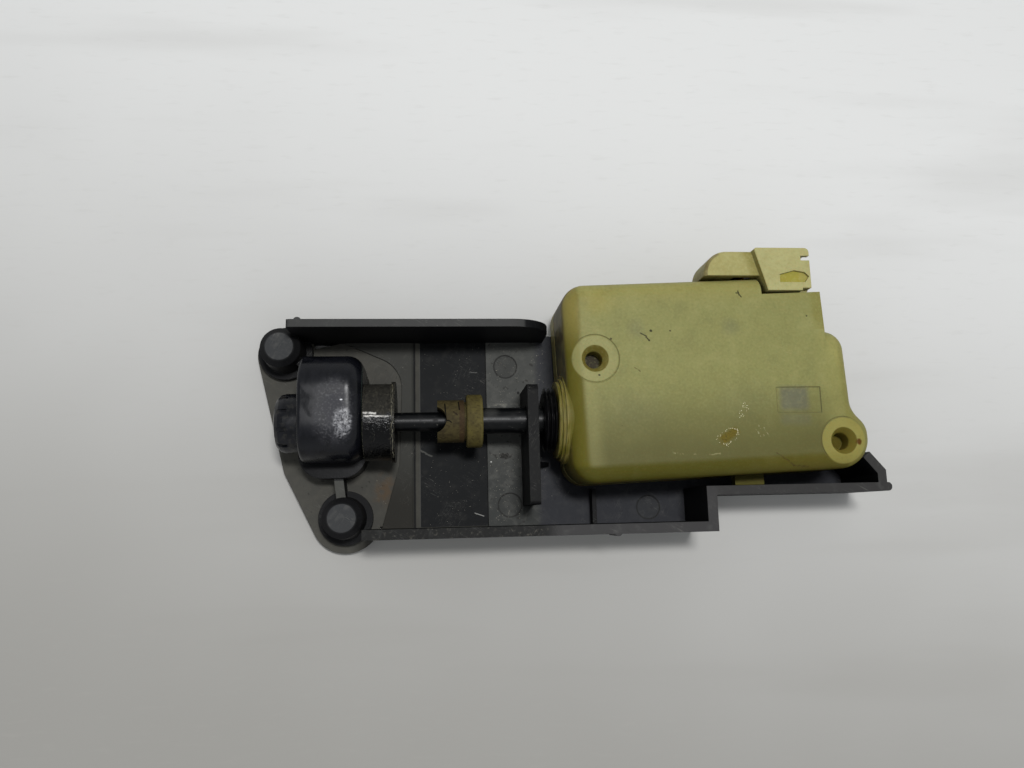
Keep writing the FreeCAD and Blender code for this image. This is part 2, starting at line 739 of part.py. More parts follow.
def make_plunger():
    rod = rod_x(ROD_R, ROD_START, BAR_X0)
    root_y = RACK_LINE - 1.2 * PINION_M
    tip_y = RACK_LINE + 0.75 * PINION_M
    bar = box(BAR_X0, BAR_X1, BAR_Y0, root_y, BAR_Z0, BAR_Z0 + BAR_H)
    pitch = math.pi * PINION_M
    first = WHEEL_X - TRAVEL_FREE - RACK_MARGIN
    last = WHEEL_X + TRAVEL_LOCK + RACK_MARGIN
    slope = math.tan(PRESSURE)
    half = pitch / 4 - BACKLASH / 2
    root_half = half + (RACK_LINE - root_y) * slope
    tip_half = half - (tip_y - RACK_LINE) * slope
    low = math.ceil((first - WHEEL_X) / pitch - 0.5)
    high = math.floor((last - WHEEL_X) / pitch - 0.5)
    teeth = []
    for i in range(low, high + 1):
        x = WHEEL_X + (i + 0.5) * pitch
        corners = [
            (x - root_half, root_y - 0.1),
            (x + root_half, root_y - 0.1),
            (x + tip_half, tip_y),
            (x - tip_half, tip_y),
        ]
        teeth.append(plan(corners, BAR_Z0, BAR_Z0 + BAR_H))
    save("plunger_rack", fused(rod, bar, *teeth))


def end_side_x(x, y):
    """Where an end wall of the housing drawn at x passes y, once the housing is turned."""
    turn = math.radians(HOUSE_TURN)
    return HOUSE_PIVOT_X + (x - HOUSE_PIVOT_X) / math.cos(turn) - (y - PIN_Y) * math.tan(turn)


def long_side_y(y, x):
    """Where a long wall of the housing drawn at y passes x, once the housing is turned."""
    turn = math.radians(HOUSE_TURN)
    return PIN_Y + (y - PIN_Y) / math.cos(turn) + (x - HOUSE_PIVOT_X) * math.tan(turn)


def turned_with_house(shape):
    shape.rotate(V(HOUSE_PIVOT_X, PIN_Y, 0), V(0, 0, 1), HOUSE_TURN)
    return shape


def lobe_corners():
    """Right end of the housing, with the lobe that carries the outer post."""
    lobe_x = POST_B[0] + LOBE_R
    return [
        (lobe_x, HOUSE_Y0, LOBE_R),
        (lobe_x, POST_B[1] + NECK_Y0, LOBE_NECK_R),
        (HOUSE_X1, POST_B[1] + NECK_Y1, LOBE_NECK_R),
        (HOUSE_X1, STEP_RIGHT_Y, STEP_CORNER_R),
        (STEP_RIGHT_X, STEP_RIGHT_Y),
    ]


def house_block(inset, z0, z1):
    corners = [(HOUSE_X0, HOUSE_Y0, CORNER_R)] + lobe_corners()
    corners += [(STEP_RIGHT_X, NOTCH_Y), (NOTCH_X, NOTCH_Y), (NOTCH_X, HOUSE_Y1), (HOUSE_X0, HOUSE_Y1, CORNER_R)]
    wire = outline(corners, lambda p: V(p.x, p.y, z0))
    if inset:
        wire = wire.makeOffset2D(-inset)
    return turned_with_house(Part.Face(wire).extrude(V(0, 0, z1 - z0)))


def rounded_on_top(block, sharp_x):
    """Block with its top edges rounded, apart from the one on the plane x = sharp_x."""
    rim = []
    for edge in block.Edges:
        bounds = edge.BoundBox
        on_sharp = abs(bounds.XMin - sharp_x) < 1e-6 and abs(bounds.XMax - sharp_x) < 1e-6
        if bounds.ZMin > HOUSE_TOP - 0.01 and not on_sharp:
            rim.append(edge)
    return block.makeFillet(TOP_FILLET, rim)


def cover_block():
    """Outside of the cover: rounded on top, with a crisp step and notch beside the connector."""
    main_part = plan(
        [
            (HOUSE_X0, HOUSE_Y0, CORNER_R),
            (STEP_RIGHT_X, HOUSE_Y0),
            (STEP_RIGHT_X, HOUSE_Y1),
            (HOUSE_X0, HOUSE_Y1, CORNER_R),
        ],
        COVER_Z0,
        HOUSE_TOP,
    )
    lobe_part = plan([(STEP_RIGHT_X, HOUSE_Y0)] + lobe_corners(), COVER_Z0, HOUSE_TOP)
    notch = box(NOTCH_X, STEP_RIGHT_X + 1, NOTCH_Y, HOUSE_Y1 + 1, 0, HOUSE_TOP + 1)
    main_part = rounded_on_top(main_part, STEP_RIGHT_X).cut(notch)
    return turned_with_house(fused(main_part, rounded_on_top(lobe_part, STEP_RIGHT_X)))


def make_gasket():
    ring = house_block(0.25, PARTING_Z, COVER_Z0).cut(house_block(HOUSE_WALL - 0.2, PARTING_Z, COVER_Z0))
    save("cover_gasket", ring)


def connector_tower():
    """Cable-side tower of the base: hollow fairing on a narrower foot, and a socket that opens towards +X."""
    back = NOTCH_X - SHROUD_SLANT
    fairing_y0 = long_side_y(HOUSE_Y1, NOTCH_X) + SAFE_GAP
    fairing = plan(
        [
            (FAIRING_X0, fairing_y0),
            (NOTCH_X, fairing_y0),
            (NOTCH_X, FAIRING_Y1),
            (FAIRING_X0, FAIRING_Y1, FAIRING_ROUND),
        ],
        HOUSE_Z0,
        FAIRING_TOP,
    )
    top_edges = [e for e in fairing.Edges if e.BoundBox.ZMin > FAIRING_TOP - 0.01]
    outer_edges = [e for e in top_edges if e.BoundBox.YMax > fairing_y0 + 0.01]
    outer_edges = [e for e in outer_edges if e.BoundBox.XMin < NOTCH_X - 0.01]
    fairing = fairing.makeFillet(FAIRING_EDGE, outer_edges)
    beside_foot = box(FAIRING_X0 - 1, FOOT_X0, fairing_y0 - 1, FAIRING_Y1 + 1, 0, FOOT_TOP)
    root = box(FOOT_X0, NOTCH_X, HOUSE_Y1 - HOUSE_WALL, FAIRING_Y1 - FAIRING_ROUND, HOUSE_Z0, PARTING_Z)
    shroud = plan(
        [
            (NOTCH_X + SAFE_GAP, SHROUD_Y0),
            (SHROUD_X1, SHROUD_Y0, 0.6),
            (SHROUD_X1, SHROUD_Y1, 1.2),
            (back, SHROUD_Y1, 0.6),
        ],
        SHROUD_Z0,
        SHROUD_TOP,
    )
    ceiling = SHROUD_TOP - SHROUD_WALL
    socket = box(
        SOCKET_BACK,
        SHROUD_X1 + 1,
        SHROUD_Y0 + SHROUD_SIDE_WALL,
        SHROUD_Y1 - SHROUD_WALL,
        SHROUD_Z0 + SHROUD_WALL,
        ceiling,
    )
    latch_y = (LATCH_Y0 + LATCH_Y1) / 2
    latch_x1 = SHROUD_X1 - 0.4
    latch = plan(
        [
            (LATCH_X0, LATCH_Y0),
            (latch_x1 - 1.2, LATCH_Y0),
            (latch_x1, latch_y),
            (latch_x1 - 1.2, LATCH_Y1 - 0.5),
            ((LATCH_X0 + latch_x1) / 2, LATCH_Y1),
            (LATCH_X0, LATCH_Y1 - 1.1),
        ],
        SHROUD_TOP - LATCH_D,
        SHROUD_TOP + 1,
    )
    keyways = []
    for y in (SHROUD_Y0 - KEYWAY_W / 2, SHROUD_Y1 - KEYWAY_SET - KEYWAY_W):
        keyways.append(box(SHROUD_X1 - KEYWAY_D, SHROUD_X1 + 1, y, y + KEYWAY_W, ceiling - 1, SHROUD_TOP + 1))
    way_x0 = FOOT_X0 + FOOT_WALL
    way_x1 = NOTCH_X - 2.2
    way_y1 = SHROUD_Y1 - 3.0
    duct = box(way_x0, way_x1, fairing_y0 - 3.5, way_y1, HOUSE_FLOOR, PARTING_Z)
    shaft_way = box(way_x0, way_x1, fairing_y0 - 1, way_y1, PARTING_Z, FAIRING_TOP - 2)
    return fused(fairing.cut(beside_foot), root, shroud), [socket, latch, duct, shaft_way] + keyways


def blade_ys():
    middle = (SHROUD_Y0 + SHROUD_SIDE_WALL + SHROUD_Y1 - SHROUD_WALL) / 2
    return middle - BLADE_GAP / 2, middle + BLADE_GAP / 2


def blade_z():
    return (SHROUD_Z0 + SHROUD_TOP) / 2


def blade_starts():
    """Where each blade turns down into its strip, one behind the other."""
    return NOTCH_X - 4.0, NOTCH_X - 6.0


def make_base():
    shell = house_block(0, HOUSE_Z0, PARTING_Z).cut(house_block(HOUSE_WALL, HOUSE_FLOOR, PARTING_Z + 1))
    tower, tower_cuts = connector_tower()
    posts = [rod_z(POST_R, *post, HOUSE_Z0, COVER_Z0) for post in (POST_A, POST_B)]
    axle_boss = rod_z(AXLE_BOSS_R, WHEEL_X, WHEEL_Y, HOUSE_Z0, WHEEL_Z0 - PINION_W - SAFE_GAP)
    motor_low = WORM_Z - MOTOR_H / 2
    cradles = []
    for x in (MOTOR_X0 + MOTOR_SEAT_A, MOTOR_X1 - MOTOR_SEAT_B):
        for y in (WORM_Y - CRADLE_GAP / 2 - CRADLE_W, WORM_Y + CRADLE_GAP / 2):
            cradles.append(box(x, x + MOTOR_SEAT_W, y, y + CRADLE_W, HOUSE_Z0, motor_low))
    slides = []
    for x in (BAR_X0 + TRAVEL_FREE + 3, BAR_X1 - TRAVEL_LOCK - 3):
        slides.append(box(x, x + 2, BAR_Y0 - 1, RACK_LINE - 2, HOUSE_Z0, BAR_Z0 - SAFE_GAP))
    back_rib = box(
        WHEEL_X - 4, WHEEL_X + 4, BAR_Y0 - SAFE_GAP - 1.6, BAR_Y0 - SAFE_GAP, HOUSE_Z0, BAR_Z0 + BAR_H / 2
    )
    solid = fused(shell, tower, *posts, axle_boss, *cradles, *slides, back_rib)
    cuts = [rod_z(HS_SHANK_R + SAFE_GAP, *post, 0, COVER_Z0 + 1) for post in (POST_A, POST_B)]
    cuts.append(rod_z(AXLE_R + FIT_GAP, WHEEL_X, WHEEL_Y, HOUSE_FLOOR, WHEEL_Z0))
    slot_y = blade_ys()
    for y, x in zip(slot_y, blade_starts()):
        cuts.append(
            box(
                x - FIT_GAP,
                SOCKET_BACK + 1,
                y - BLADE_T / 2 - FIT_GAP,
                y + BLADE_T / 2 + FIT_GAP,
                blade_z() - BLADE_W / 2 - FIT_GAP,
                blade_z() + BLADE_W / 2 + FIT_GAP,
            )
        )
    save("actuator_base", solid.cut(tower_cuts + cuts))


def make_cover():
    eased = HOUSE_CEILING - CEILING_EASE
    room = house_block(HOUSE_WALL, COVER_Z0 - 1, eased)
    top_room = house_block(HOUSE_WALL + CEILING_EASE, eased - 1, HOUSE_CEILING)
    shell = cover_block().cut([room, top_room])
    posts = []
    for post in (POST_A, POST_B):
        posts.append(rod_z(POST_R, *post, COVER_Z0, HOUSE_CEILING + 0.5))
    axle_boss = rod_z(AXLE_BOSS_R, WHEEL_X, WHEEL_Y, WHEEL_Z0 + WHEEL_W + SAFE_GAP, HOUSE_CEILING + 0.5)
    motor_top = WORM_Z + MOTOR_H / 2
    presses = []
    for x in (MOTOR_X0 + MOTOR_SEAT_A, MOTOR_X1 - MOTOR_SEAT_B):
        presses.append(box(x, x + MOTOR_SEAT_W, WORM_Y - 4, WORM_Y + 4, motor_top, HOUSE_CEILING + 0.5))
    bearing_x = WORM_X1 + BEARING_GAP
    saddle = box(
        bearing_x,
        bearing_x + BEARING_W,
        WORM_Y - WORM_BEARING_R - SADDLE_T,
        WORM_Y + WORM_BEARING_R + SADDLE_T,
        WORM_Z - WORM_BEARING_R - SADDLE_T,
        HOUSE_CEILING + 0.5,
    )
    rings = []
    for i in range(COLLAR_STEPS):
        depth = COLLAR_W * (COLLAR_STEPS - i) / COLLAR_STEPS
        rings.append(rod_x(COLLAR_R - COLLAR_STEP + i * COLLAR_STEP / 2, HOUSE_X0 - depth, HOUSE_X0 + 1.0))
    base_x = end_side_x(HOUSE_X0, PIN_Y + COLLAR_R) - SAFE_GAP
    below = box(base_x, HOUSE_X0 + 2, PIN_Y - COLLAR_R - 1, PIN_Y + COLLAR_R + 1, 0, COVER_Z0)
    rings = [ring.cut(below) for ring in rings]
    tab_root = long_side_y(HOUSE_Y0, TAB_X1) + HOUSE_WALL / 2
    tab = box(TAB_X0, TAB_X1, SHELF_Y + SHELF_T + SAFE_GAP, tab_root, TAB_Z0, TAB_Z1)
    solid = fused(shell, *posts, axle_boss, *presses, saddle, *rings, tab)
    cuts = [rod_x(ROD_HOLE_R, COLLAR_X - 1, HOUSE_X0 + HOUSE_WALL + 1)]
    cuts.append(rod_x(LIP_R, COLLAR_X - 1, COLLAR_X + LIP_W))
    cuts.append(rod_x(WORM_BEARING_R, bearing_x, bearing_x + BEARING_W, WORM_Y, WORM_Z))
    cuts.append(rod_z(AXLE_R + FIT_GAP, WHEEL_X, WHEEL_Y, WHEEL_Z0, HOUSE_CEILING - 1))
    cuts.append(box(WINDOW_X0, WINDOW_X1, WINDOW_Y0, WINDOW_Y1, HOUSE_TOP - WINDOW_D, HOUSE_TOP + 1))
    for post in (POST_A, POST_B):
        cuts.append(rod_z(HS_SHANK_R + FIT_GAP, *post, COVER_Z0 - 1, HS_END))
        cuts.append(rod_z(TOP_HOLE_R, *post, HOUSE_TOP - TOP_HOLE_D, HOUSE_TOP + 1))
        cuts.append(cone_z(TOP_HOLE_R, TOP_MOUTH_R, *post, HOUSE_TOP - TOP_MOUTH_D, HOUSE_TOP))
        ring = rod_z(POST_RING_R, *post, HOUSE_TOP - POST_RING_D, HOUSE_TOP)
        cuts.append(ring.cut(rod_z(POST_RING_R - POST_RING_W, *post, HOUSE_TOP - 1, HOUSE_TOP)))
    save("actuator_cover", solid.cut(cuts))


def make_housing_screws():
    screws = []
    for x, y in (POST_A, POST_B):
        head_top = HS_HEAD_SUNK + HS_HEAD_H
        head = rod_z(HS_HEAD_R, x, y, HS_HEAD_SUNK, head_top)
        shank = rod_z(HS_SHANK_R, x, y, head_top, HS_END - SAFE_GAP)
        slots = []
        for turn in (0, 90):
            slot = box(-1.7, 1.7, -0.35, 0.35, HS_HEAD_SUNK, HS_HEAD_SUNK + 1.0)
            slot.rotate(V(0, 0, 0), V(0, 0, 1), turn)
            slot.translate(V(x, y, 0))
            slots.append(slot)
        screws.append(fused(head, shank).cut(slots))
    save("housing_screws", *screws)


def make_seals():
    fold = SEAL_W / SEAL_FOLDS
    start = COLLAR_X - SEAL_W
    profile = [(COLLAR_X, ROD_HOLE_R), (start, ROD_HOLE_R), (start, SEAL_R - SEAL_FOLD_DEPTH)]
    for i in range(SEAL_FOLDS):
        profile.append((start + (i + 0.45) * fold, SEAL_R))
        profile.append((start + (i + 1) * fold, SEAL_R - SEAL_FOLD_DEPTH))
    save("dust_boot", turned_x(profile))
    lip = rod_x(LIP_R - FIT_GAP, COLLAR_X, COLLAR_X + LIP_W).cut(rod_x(ROD_R + RUN_GAP, COLLAR_X, HOUSE_X0))
    save("rod_seal", lip)


def make_stop_buffers():
    ring_r = ROD_HOLE_R + 2.6
    wall_x = end_side_x(HOUSE_X0 + HOUSE_WALL, PIN_Y - ring_r) + FIT_GAP
    ring_end = BAR_X0 - TRAVEL_LOCK - SAFE_GAP
    ring = rod_x(ring_r, wall_x, ring_end).cut(rod_x(ROD_HOLE_R, wall_x, ring_end))
    pad_x = BAR_X1 + TRAVEL_FREE + SAFE_GAP
    pad_y1 = RACK_LINE - 1.2
    far_x = end_side_x(HOUSE_X1 - HOUSE_WALL, pad_y1) - FIT_GAP
    pad = box(pad_x, far_x, BAR_Y0 + 0.9, pad_y1, COVER_Z0 + 1, BAR_Z0 + BAR_H)
    save("stop_buffers", ring, pad)


def motor_round(r, x0, x1):
    """Round length of the motor body with its two flats."""
    flat = box(x0, x1, WORM_Y - r, WORM_Y + r, WORM_Z - MOTOR_H / 2 + MOTOR_R - r, WORM_Z + MOTOR_H / 2 - MOTOR_R + r)
    return rod_x(r, x0, x1, WORM_Y, WORM_Z).common(flat)


def make_motor():
    front_boss = rod_x(BEARING_R + 0.9, MOTOR_X1 - CAN_T, MOTOR_X1 + NOSE_BOSS_W, WORM_Y, WORM_Z)
    inner = motor_round(MOTOR_R - CAN_T, MOTOR_X0, MOTOR_X1 - CAN_T)
    can = fused(motor_round(MOTOR_R, MOTOR_X0, MOTOR_X1), front_boss)
    front_seat_x = MOTOR_X1 + NOSE_BOSS_W - BEARING_W
    seat = rod_x(BEARING_R, front_seat_x, MOTOR_X1 + NOSE_BOSS_W, WORM_Y, WORM_Z)
    tunnel = rod_x(SHAFT_R + SAFE_GAP, MOTOR_X1 - TUNNEL_HALF, MOTOR_X1 + TUNNEL_HALF, WORM_Y, WORM_Z)
    save("motor_can", can.cut([inner, seat, tunnel]))
    cap_x = MOTOR_X0 - ENDCAP_T
    cap = motor_round(MOTOR_R - 0.3, cap_x, MOTOR_X0)
    plug = motor_round(MOTOR_R - CAN_T - FIT_GAP, MOTOR_X0, MOTOR_X0 + PLUG_W)
    rear_seat = rod_x(BEARING_R, cap_x, cap_x + BEARING_W, WORM_Y, WORM_Z)
    rear_tunnel = rod_x(SHAFT_R + SAFE_GAP, cap_x, MOTOR_X0 + PLUG_W + 1, WORM_Y, WORM_Z)
    save("motor_end_cap", fused(cap, plug).cut([rear_seat, rear_tunnel]))
    bearings = []
    for x in (cap_x, front_seat_x):
        ring = rod_x(BEARING_R - FIT_GAP, x, x + BEARING_W, WORM_Y, WORM_Z)
        bearings.append(ring.cut(rod_x(SHAFT_R + RUN_GAP / 2, x, x + BEARING_W, WORM_Y, WORM_Z)))
    save("motor_bearings", *bearings)
    magnet_x0 = MOTOR_X0 + MAGNET_SET
    magnet_x1 = MOTOR_X1 - MAGNET_END
    shell = motor_round(MOTOR_R - CAN_T, magnet_x0, magnet_x1)
    shell = shell.cut(rod_x(MOTOR_R - CAN_T - MAGNET_T, magnet_x0, magnet_x1, WORM_Y, WORM_Z))
    magnets = []
    for side in (-1, 1):
        middle = WORM_Y + side * MOTOR_R
        y0 = middle - MAGNET_SPAN / 2
        magnets.append(shell.common(box(magnet_x0, magnet_x1, y0, y0 + MAGNET_SPAN, 0, HOUSE_TOP)))
    save("motor_magnets", *magnets)
    brushes = []
    brush_x = MOTOR_X0 + BRUSH_SET
    for side in (-1, 1):
        reach = COMMUTATOR_R + RUN_GAP
        y_in = WORM_Y + side * reach
        y_out = WORM_Y + side * (reach + BRUSH_LEN)
        y0, y1 = sorted((y_in, y_out))
        brushes.append(box(brush_x, brush_x + BRUSH_W, y0, y1, WORM_Z - 1, WORM_Z + 1))
    save("motor_brushes", *brushes)


def make_rotor():
    bearing_x = WORM_X1 + BEARING_GAP
    shaft = rod_x(SHAFT_R, MOTOR_X0 - ENDCAP_T - 0.2, bearing_x + BEARING_W + 0.4, WORM_Y, WORM_Z)
    save("rotor_shaft", shaft)
    stack_x = MOTOR_X0 + STACK_SET
    stack = rod_x(ARMATURE_R, stack_x, stack_x + ARMATURE_LEN, WORM_Y, WORM_Z)
    cuts = [rod_x(SHAFT_R + FIT_GAP, stack_x, stack_x + ARMATURE_LEN, WORM_Y, WORM_Z)]
    for i in range(3):
        slot = box(stack_x, stack_x + ARMATURE_LEN, -SLOT_W / 2, SLOT_W / 2, 2.6, ARMATURE_R + 1)
        slot.rotate(V(0, 0, 0), V(1, 0, 0), 120 * i)
        slot.translate(V(0, WORM_Y, WORM_Z))
        cuts.append(slot)
    save("armature", stack.cut(cuts))
    commutator_x = MOTOR_X0 + BRUSH_SET
    ring = rod_x(COMMUTATOR_R, commutator_x, commutator_x + COMMUTATOR_LEN, WORM_Y, WORM_Z)
    ring = ring.cut(rod_x(SHAFT_R + FIT_GAP, commutator_x, stack_x, WORM_Y, WORM_Z))
    save("commutator", ring)
    bush = rod_x(WORM_BEARING_R - FIT_GAP, bearing_x, bearing_x + BEARING_W, WORM_Y, WORM_Z)
    save("worm_bearing", bush.cut(rod_x(SHAFT_R + RUN_GAP / 2, bearing_x, bearing_x + BEARING_W, WORM_Y, WORM_Z)))


def make_axle():
    save("gear_axle", rod_z(AXLE_R, WHEEL_X, WHEEL_Y, HOUSE_FLOOR, HOUSE_CEILING - 1))


def make_contacts():
    blades = []
    strips = []
    run_ys = (WORM_Y + STRIP_RUN_GAP / 2, WORM_Y - STRIP_RUN_GAP / 2)
    low = HOUSE_FLOOR
    end_x = MOTOR_X0 - ENDCAP_T
    for y, start, run_y in zip(blade_ys(), blade_starts(), run_ys):
        z = blade_z()
        blade = box(start, BLADE_END, y - BLADE_T / 2, y + BLADE_T / 2, z - BLADE_W / 2, z + BLADE_W / 2)
        blades.append(blade)
        half = STRIP_W / 2
        down = box(start - STRIP_T, start, y - half, y + half, low, z + BLADE_W / 2)
        across = box(start - STRIP_W, start, run_y - half, y + half, low, low + STRIP_T)
        along = box(end_x - STRIP_T, start, run_y - half, run_y + half, low, low + STRIP_T)
        up = box(end_x - STRIP_T, end_x, run_y - half, run_y + half, low, WORM_Z - 3)
        strips.append(fused(down, across, along, up))
    save("terminal_blades", *blades)
    save("contact_strips", *strips)


def main():
    os.makedirs("parts", exist_ok=True)
    make_bracket()
    make_pocket_cap()
    make_tip_socket()
    make_guide_bush()
    make_lock_pin()
    make_sleeve()
    make_plunger()
    make_worm_wheel()
    make_pinion()
    make_worm()
    make_axle()
    make_base()
    make_cover()
    make_gasket()
    make_housing_screws()
    make_seals()
    make_stop_buffers()
    make_motor()
    make_rotor()
    make_contacts()


main()
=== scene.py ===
"""Looks of the fuel flap lock actuator: finishes, small moulded details, light and camera.

Sizes in this script are millimetres unless a name says otherwise. The frame is in metres.
"""

import json
import math

import bmesh
import bpy
from mathutils import Matrix, Vector


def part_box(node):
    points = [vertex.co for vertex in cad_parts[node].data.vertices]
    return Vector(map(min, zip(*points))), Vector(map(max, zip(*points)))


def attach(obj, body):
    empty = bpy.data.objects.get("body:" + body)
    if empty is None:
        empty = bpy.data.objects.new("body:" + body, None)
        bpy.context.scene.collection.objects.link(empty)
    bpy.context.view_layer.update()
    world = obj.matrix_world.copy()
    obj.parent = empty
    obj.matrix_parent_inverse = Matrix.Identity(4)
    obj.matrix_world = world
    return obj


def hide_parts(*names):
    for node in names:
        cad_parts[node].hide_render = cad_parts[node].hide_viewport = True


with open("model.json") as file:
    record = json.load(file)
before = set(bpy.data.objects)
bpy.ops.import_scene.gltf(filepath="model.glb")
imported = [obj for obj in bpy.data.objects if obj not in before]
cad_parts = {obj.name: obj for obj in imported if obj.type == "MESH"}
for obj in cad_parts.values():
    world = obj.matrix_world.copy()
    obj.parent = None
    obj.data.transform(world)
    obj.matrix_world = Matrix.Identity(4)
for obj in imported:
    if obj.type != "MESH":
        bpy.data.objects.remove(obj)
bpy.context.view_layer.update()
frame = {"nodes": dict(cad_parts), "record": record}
MM = 0.001

# Camera, as the photograph was taken
CAMERA_AT = (33.38, -23.51, 230.0)
CAMERA_RIGHT = (0.99546, -0.02433, 0.09207)
CAMERA_FORWARD = (0.09481, 0.16293, -0.98207)
LENS = 28.125
SENSOR = 36.0

# Light: a lamp almost overhead on the connector's side, and an even sky paler at the horizon
KEY_AT = (112.0, 129.0, 804.0)
KEY_AIM = (60.0, 5.0, 10.0)
KEY_SIZE = (170.0, 80.0)
KEY_WATTS = 4.0
SKY_HIGH = (0.36, 0.375, 0.39)
SKY_LOW = (0.6, 0.61, 0.62)
FLOOR_HALF = 1600.0
FLOOR_DROP = 0.05

# Sockets of the Mix node when it mixes colours
MIX_FACTOR = 0
MIX_A = 6
MIX_B = 7
MIX_OUT = 2

# Radius to which the shading of sharp edges is rounded
EDGE_ROUND = 0.28
FINE_ROUND = 0.15
METAL_ROUND = 0.12
COVER_ROUND = 0.35
BASE_ROUND = 0.3

# Solid share of a mark's width, the rest fades out
STROKE_CORE = 0.3
RING_CORE = 0.4
DOT_CORE = 0.5
LEVEL_CORE = 0.6

# Levels and lines of the object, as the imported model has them
PLATE_TOP = 2.6
TRAY_TOP = 3.2
STRAP_TOP = 10.0
BOSS_TOP = 15.0
GUIDE_TOP = 22.0
WALL_TOP = 23.5
CAP_TOP = 27.6
HOUSE_TOP = 29.0
BAND = (28.9, 47.8)
BAND_DEPTH = 0.8
HOUSE_PIVOT = (106.3, 2.0)
HOUSE_TURN = math.radians(2.2)
HOUSE_SIDES = (67.8, 144.3, -14.4, 38.3)
HOUSE_STEP = (138.3, 23.0)
POSTS = ((74.7, 16.4), (140.2, -6.0))
FLANGE_X = 40.9
# Where painted shade on the tray floor beside the housing begins
SHADE_X = 61.0

# Zones seen from above: lowest and highest x, then lowest and highest y
BAND_ZONE = (BAND[0], BAND[1] + 0.2, -26.0, 26.4)
RUBBED_ZONE = (48.0, 56.8, 7.2, 8.4)
GUIDE_ZONE = (57.3, 60.6, -21.0, 11.4)
STRAP_ZONE = (0.0, 12.0, -23.0, -12.3)
SKIRT_ZONE = (-4.2, 15.2, -13.0, 21.0)
WINDOW_OUTSIDE = (122.6, 134.9, 1.4, 8.5)
WINDOW_INSIDE = (122.9, 134.6, 1.7, 8.2)
LATCH_ZONE = (125.6, 134.5, 36.7, 40.2)
LATCH_END_ZONE = (131.5, 134.6, 37.2, 40.0)
TAB_ZONE = (114.0, 124.0, -18.0, -13.5)

# Round marks: centre and radii
RUST_STAIN = ((19.0, -15.5, PLATE_TOP), (4.0, 6.5, 4.0))
PIT = ((57.0, 11.5, TRAY_TOP), (0.5, 0.55, 2.0))
SMUDGE = ((52.8, -6.6, TRAY_TOP), (2.2, 1.0, 3.0))
WHITE_GRAIN = ((48.8, -8.2, TRAY_TOP), (0.3, 0.3, 2.0))
CAP_VEIL = ((7.6, 3.4, CAP_TOP), (6.6, 11.5, 6.0))
# Painted highlight on the cap's top
CAP_PAINTED_HIGHLIGHT = ((9.9, 0.8, CAP_TOP), (2.8, 4.6, 6.0))
# Painted glint on the cap's top
CAP_PAINTED_GLINT = ((9.6, 6.5, CAP_TOP), (0.45, 0.25, 2.0))
# Painted light on the rod's upper side by the sleeve
ROD_PAINTED_LIGHT = ((48.0, 4.0, 18.0), (3.0, 2.5, 3.0))
COVER_CORNER = ((75.5, 31.5, HOUSE_TOP), (7.0, 6.0, 8.0))
# Painted light on the cover's right lobe
COVER_LOBE = ((141.5, 18.0, HOUSE_TOP), (5.0, 6.0, 8.0))
POST_SPOT = ((144.3, -6.4, HOUSE_TOP), (0.9, 1.1, 3.0))
PAD_SPECK = ((79.0, 21.6, HOUSE_TOP), (0.42, 0.42, 3.0))
EJECTOR_MARKS = ((53.4, 19.2), (53.9, -20.4), (93.5, -21.9))
EJECTOR_RADIUS = 3.3

# Line marks: start and end
STEP_LINE = ((28.75, -26.0), (28.75, 26.0))
# Painted reflection, a thin line down the cap's right flank
CAP_FLANK_REFLECTION = ((14.4, 16.0), (14.4, -6.0))
# Painted highlight streaks along the bush's top: start, end, width and wobble
BUSH_PAINTED_STREAKS = (((15.0, 3.25), (18.0, 3.2), 0.35, 1.0), ((15.2, 2.5), (22.0, 2.4), 0.3, 0.7))
SLEEVE_CRACKS = (
    ((35.7, 6.2), (35.95, 1.8), 0.22, 1.6),
    ((35.95, 1.7), (37.4, 1.2), 0.2, 0.9),
    ((39.3, 6.8), (39.5, 4.6), 0.18, 0.8),
)
SLEEVE_NICK = ((37.9, 3.9), (38.9, 3.0))
CHIP_RUN = ((107.6, -5.2), (110.7, -3.2))
PALE_RUN = ((93.6, -8.6), (106.3, -9.0))
LONG_SCRATCHES = (
    ((121.5, -8.9), (126.7, -12.4)), ((126.2, -12.3), (130.6, -12.5)), ((85.0, 13.9), (86.4, 13.0)),
)
DARK_NICKS = (
    ((86.9, 23.1), (88.6, 22.2)), ((88.4, 22.0), (89.2, 21.3)), ((114.2, 34.6), (114.5, 33.4)),
    ((114.4, 33.7), (115.0, 33.0)), ((113.6, 34.0), (114.4, 34.0)),
)

# Scratches in the band: start, end, width, wobble, strength and shade
BAND_SCRATCHES = (
    ((28.9, -4.6), (32.1, -6.4), 0.35, 1.2, 0.8, "grey scratch"),
    ((44.0, -22.4), (46.5, -23.3), 0.16, 0.0, 1.0, "white scratch"),
    ((43.2, 17.8), (45.2, 17.6), 0.2, 0.6, 0.5, "faint scratch"),
)

# Painted shade of the parts inside, seen through the cover: centre, radii and strength
INNER_SHADOWS = (
    ((85.9, 24.5, HOUSE_TOP), (3.4, 4.0, 4.0), 0.3),
    ((111.7, 24.9, HOUSE_TOP), (4.0, 3.6, 4.0), 0.3),
    ((84.0, 3.0, HOUSE_TOP), (13.0, 8.0, 6.0), 0.14),
    ((114.0, 5.0, HOUSE_TOP), (12.0, 8.0, 6.0), 0.1),
)

# Thin places of the cover, where painted shade of the parts inside shows through: zone and strength
THIN_PLACES = (((123.8, 131.4, 2.4, 8.4), 0.72), ((123.4, 131.6, -1.6, 1.4), 0.3))

# Dark specks on the cover: x, y and radius
DARK_SPECKS = (
    (75.6, 12.0, 0.4), (89.8, 23.7, 0.5), (95.0, 23.7, 0.38), (89.2, 21.1, 0.4), (132.8, 27.7, 0.3),
)

# Hair cracks beside the chip: x of the upper end and length
HAIR_CRACKS = ((115.9, 3.0), (117.2, 3.6), (118.3, 3.0))
HAIR_CRACK_Y = -1.6

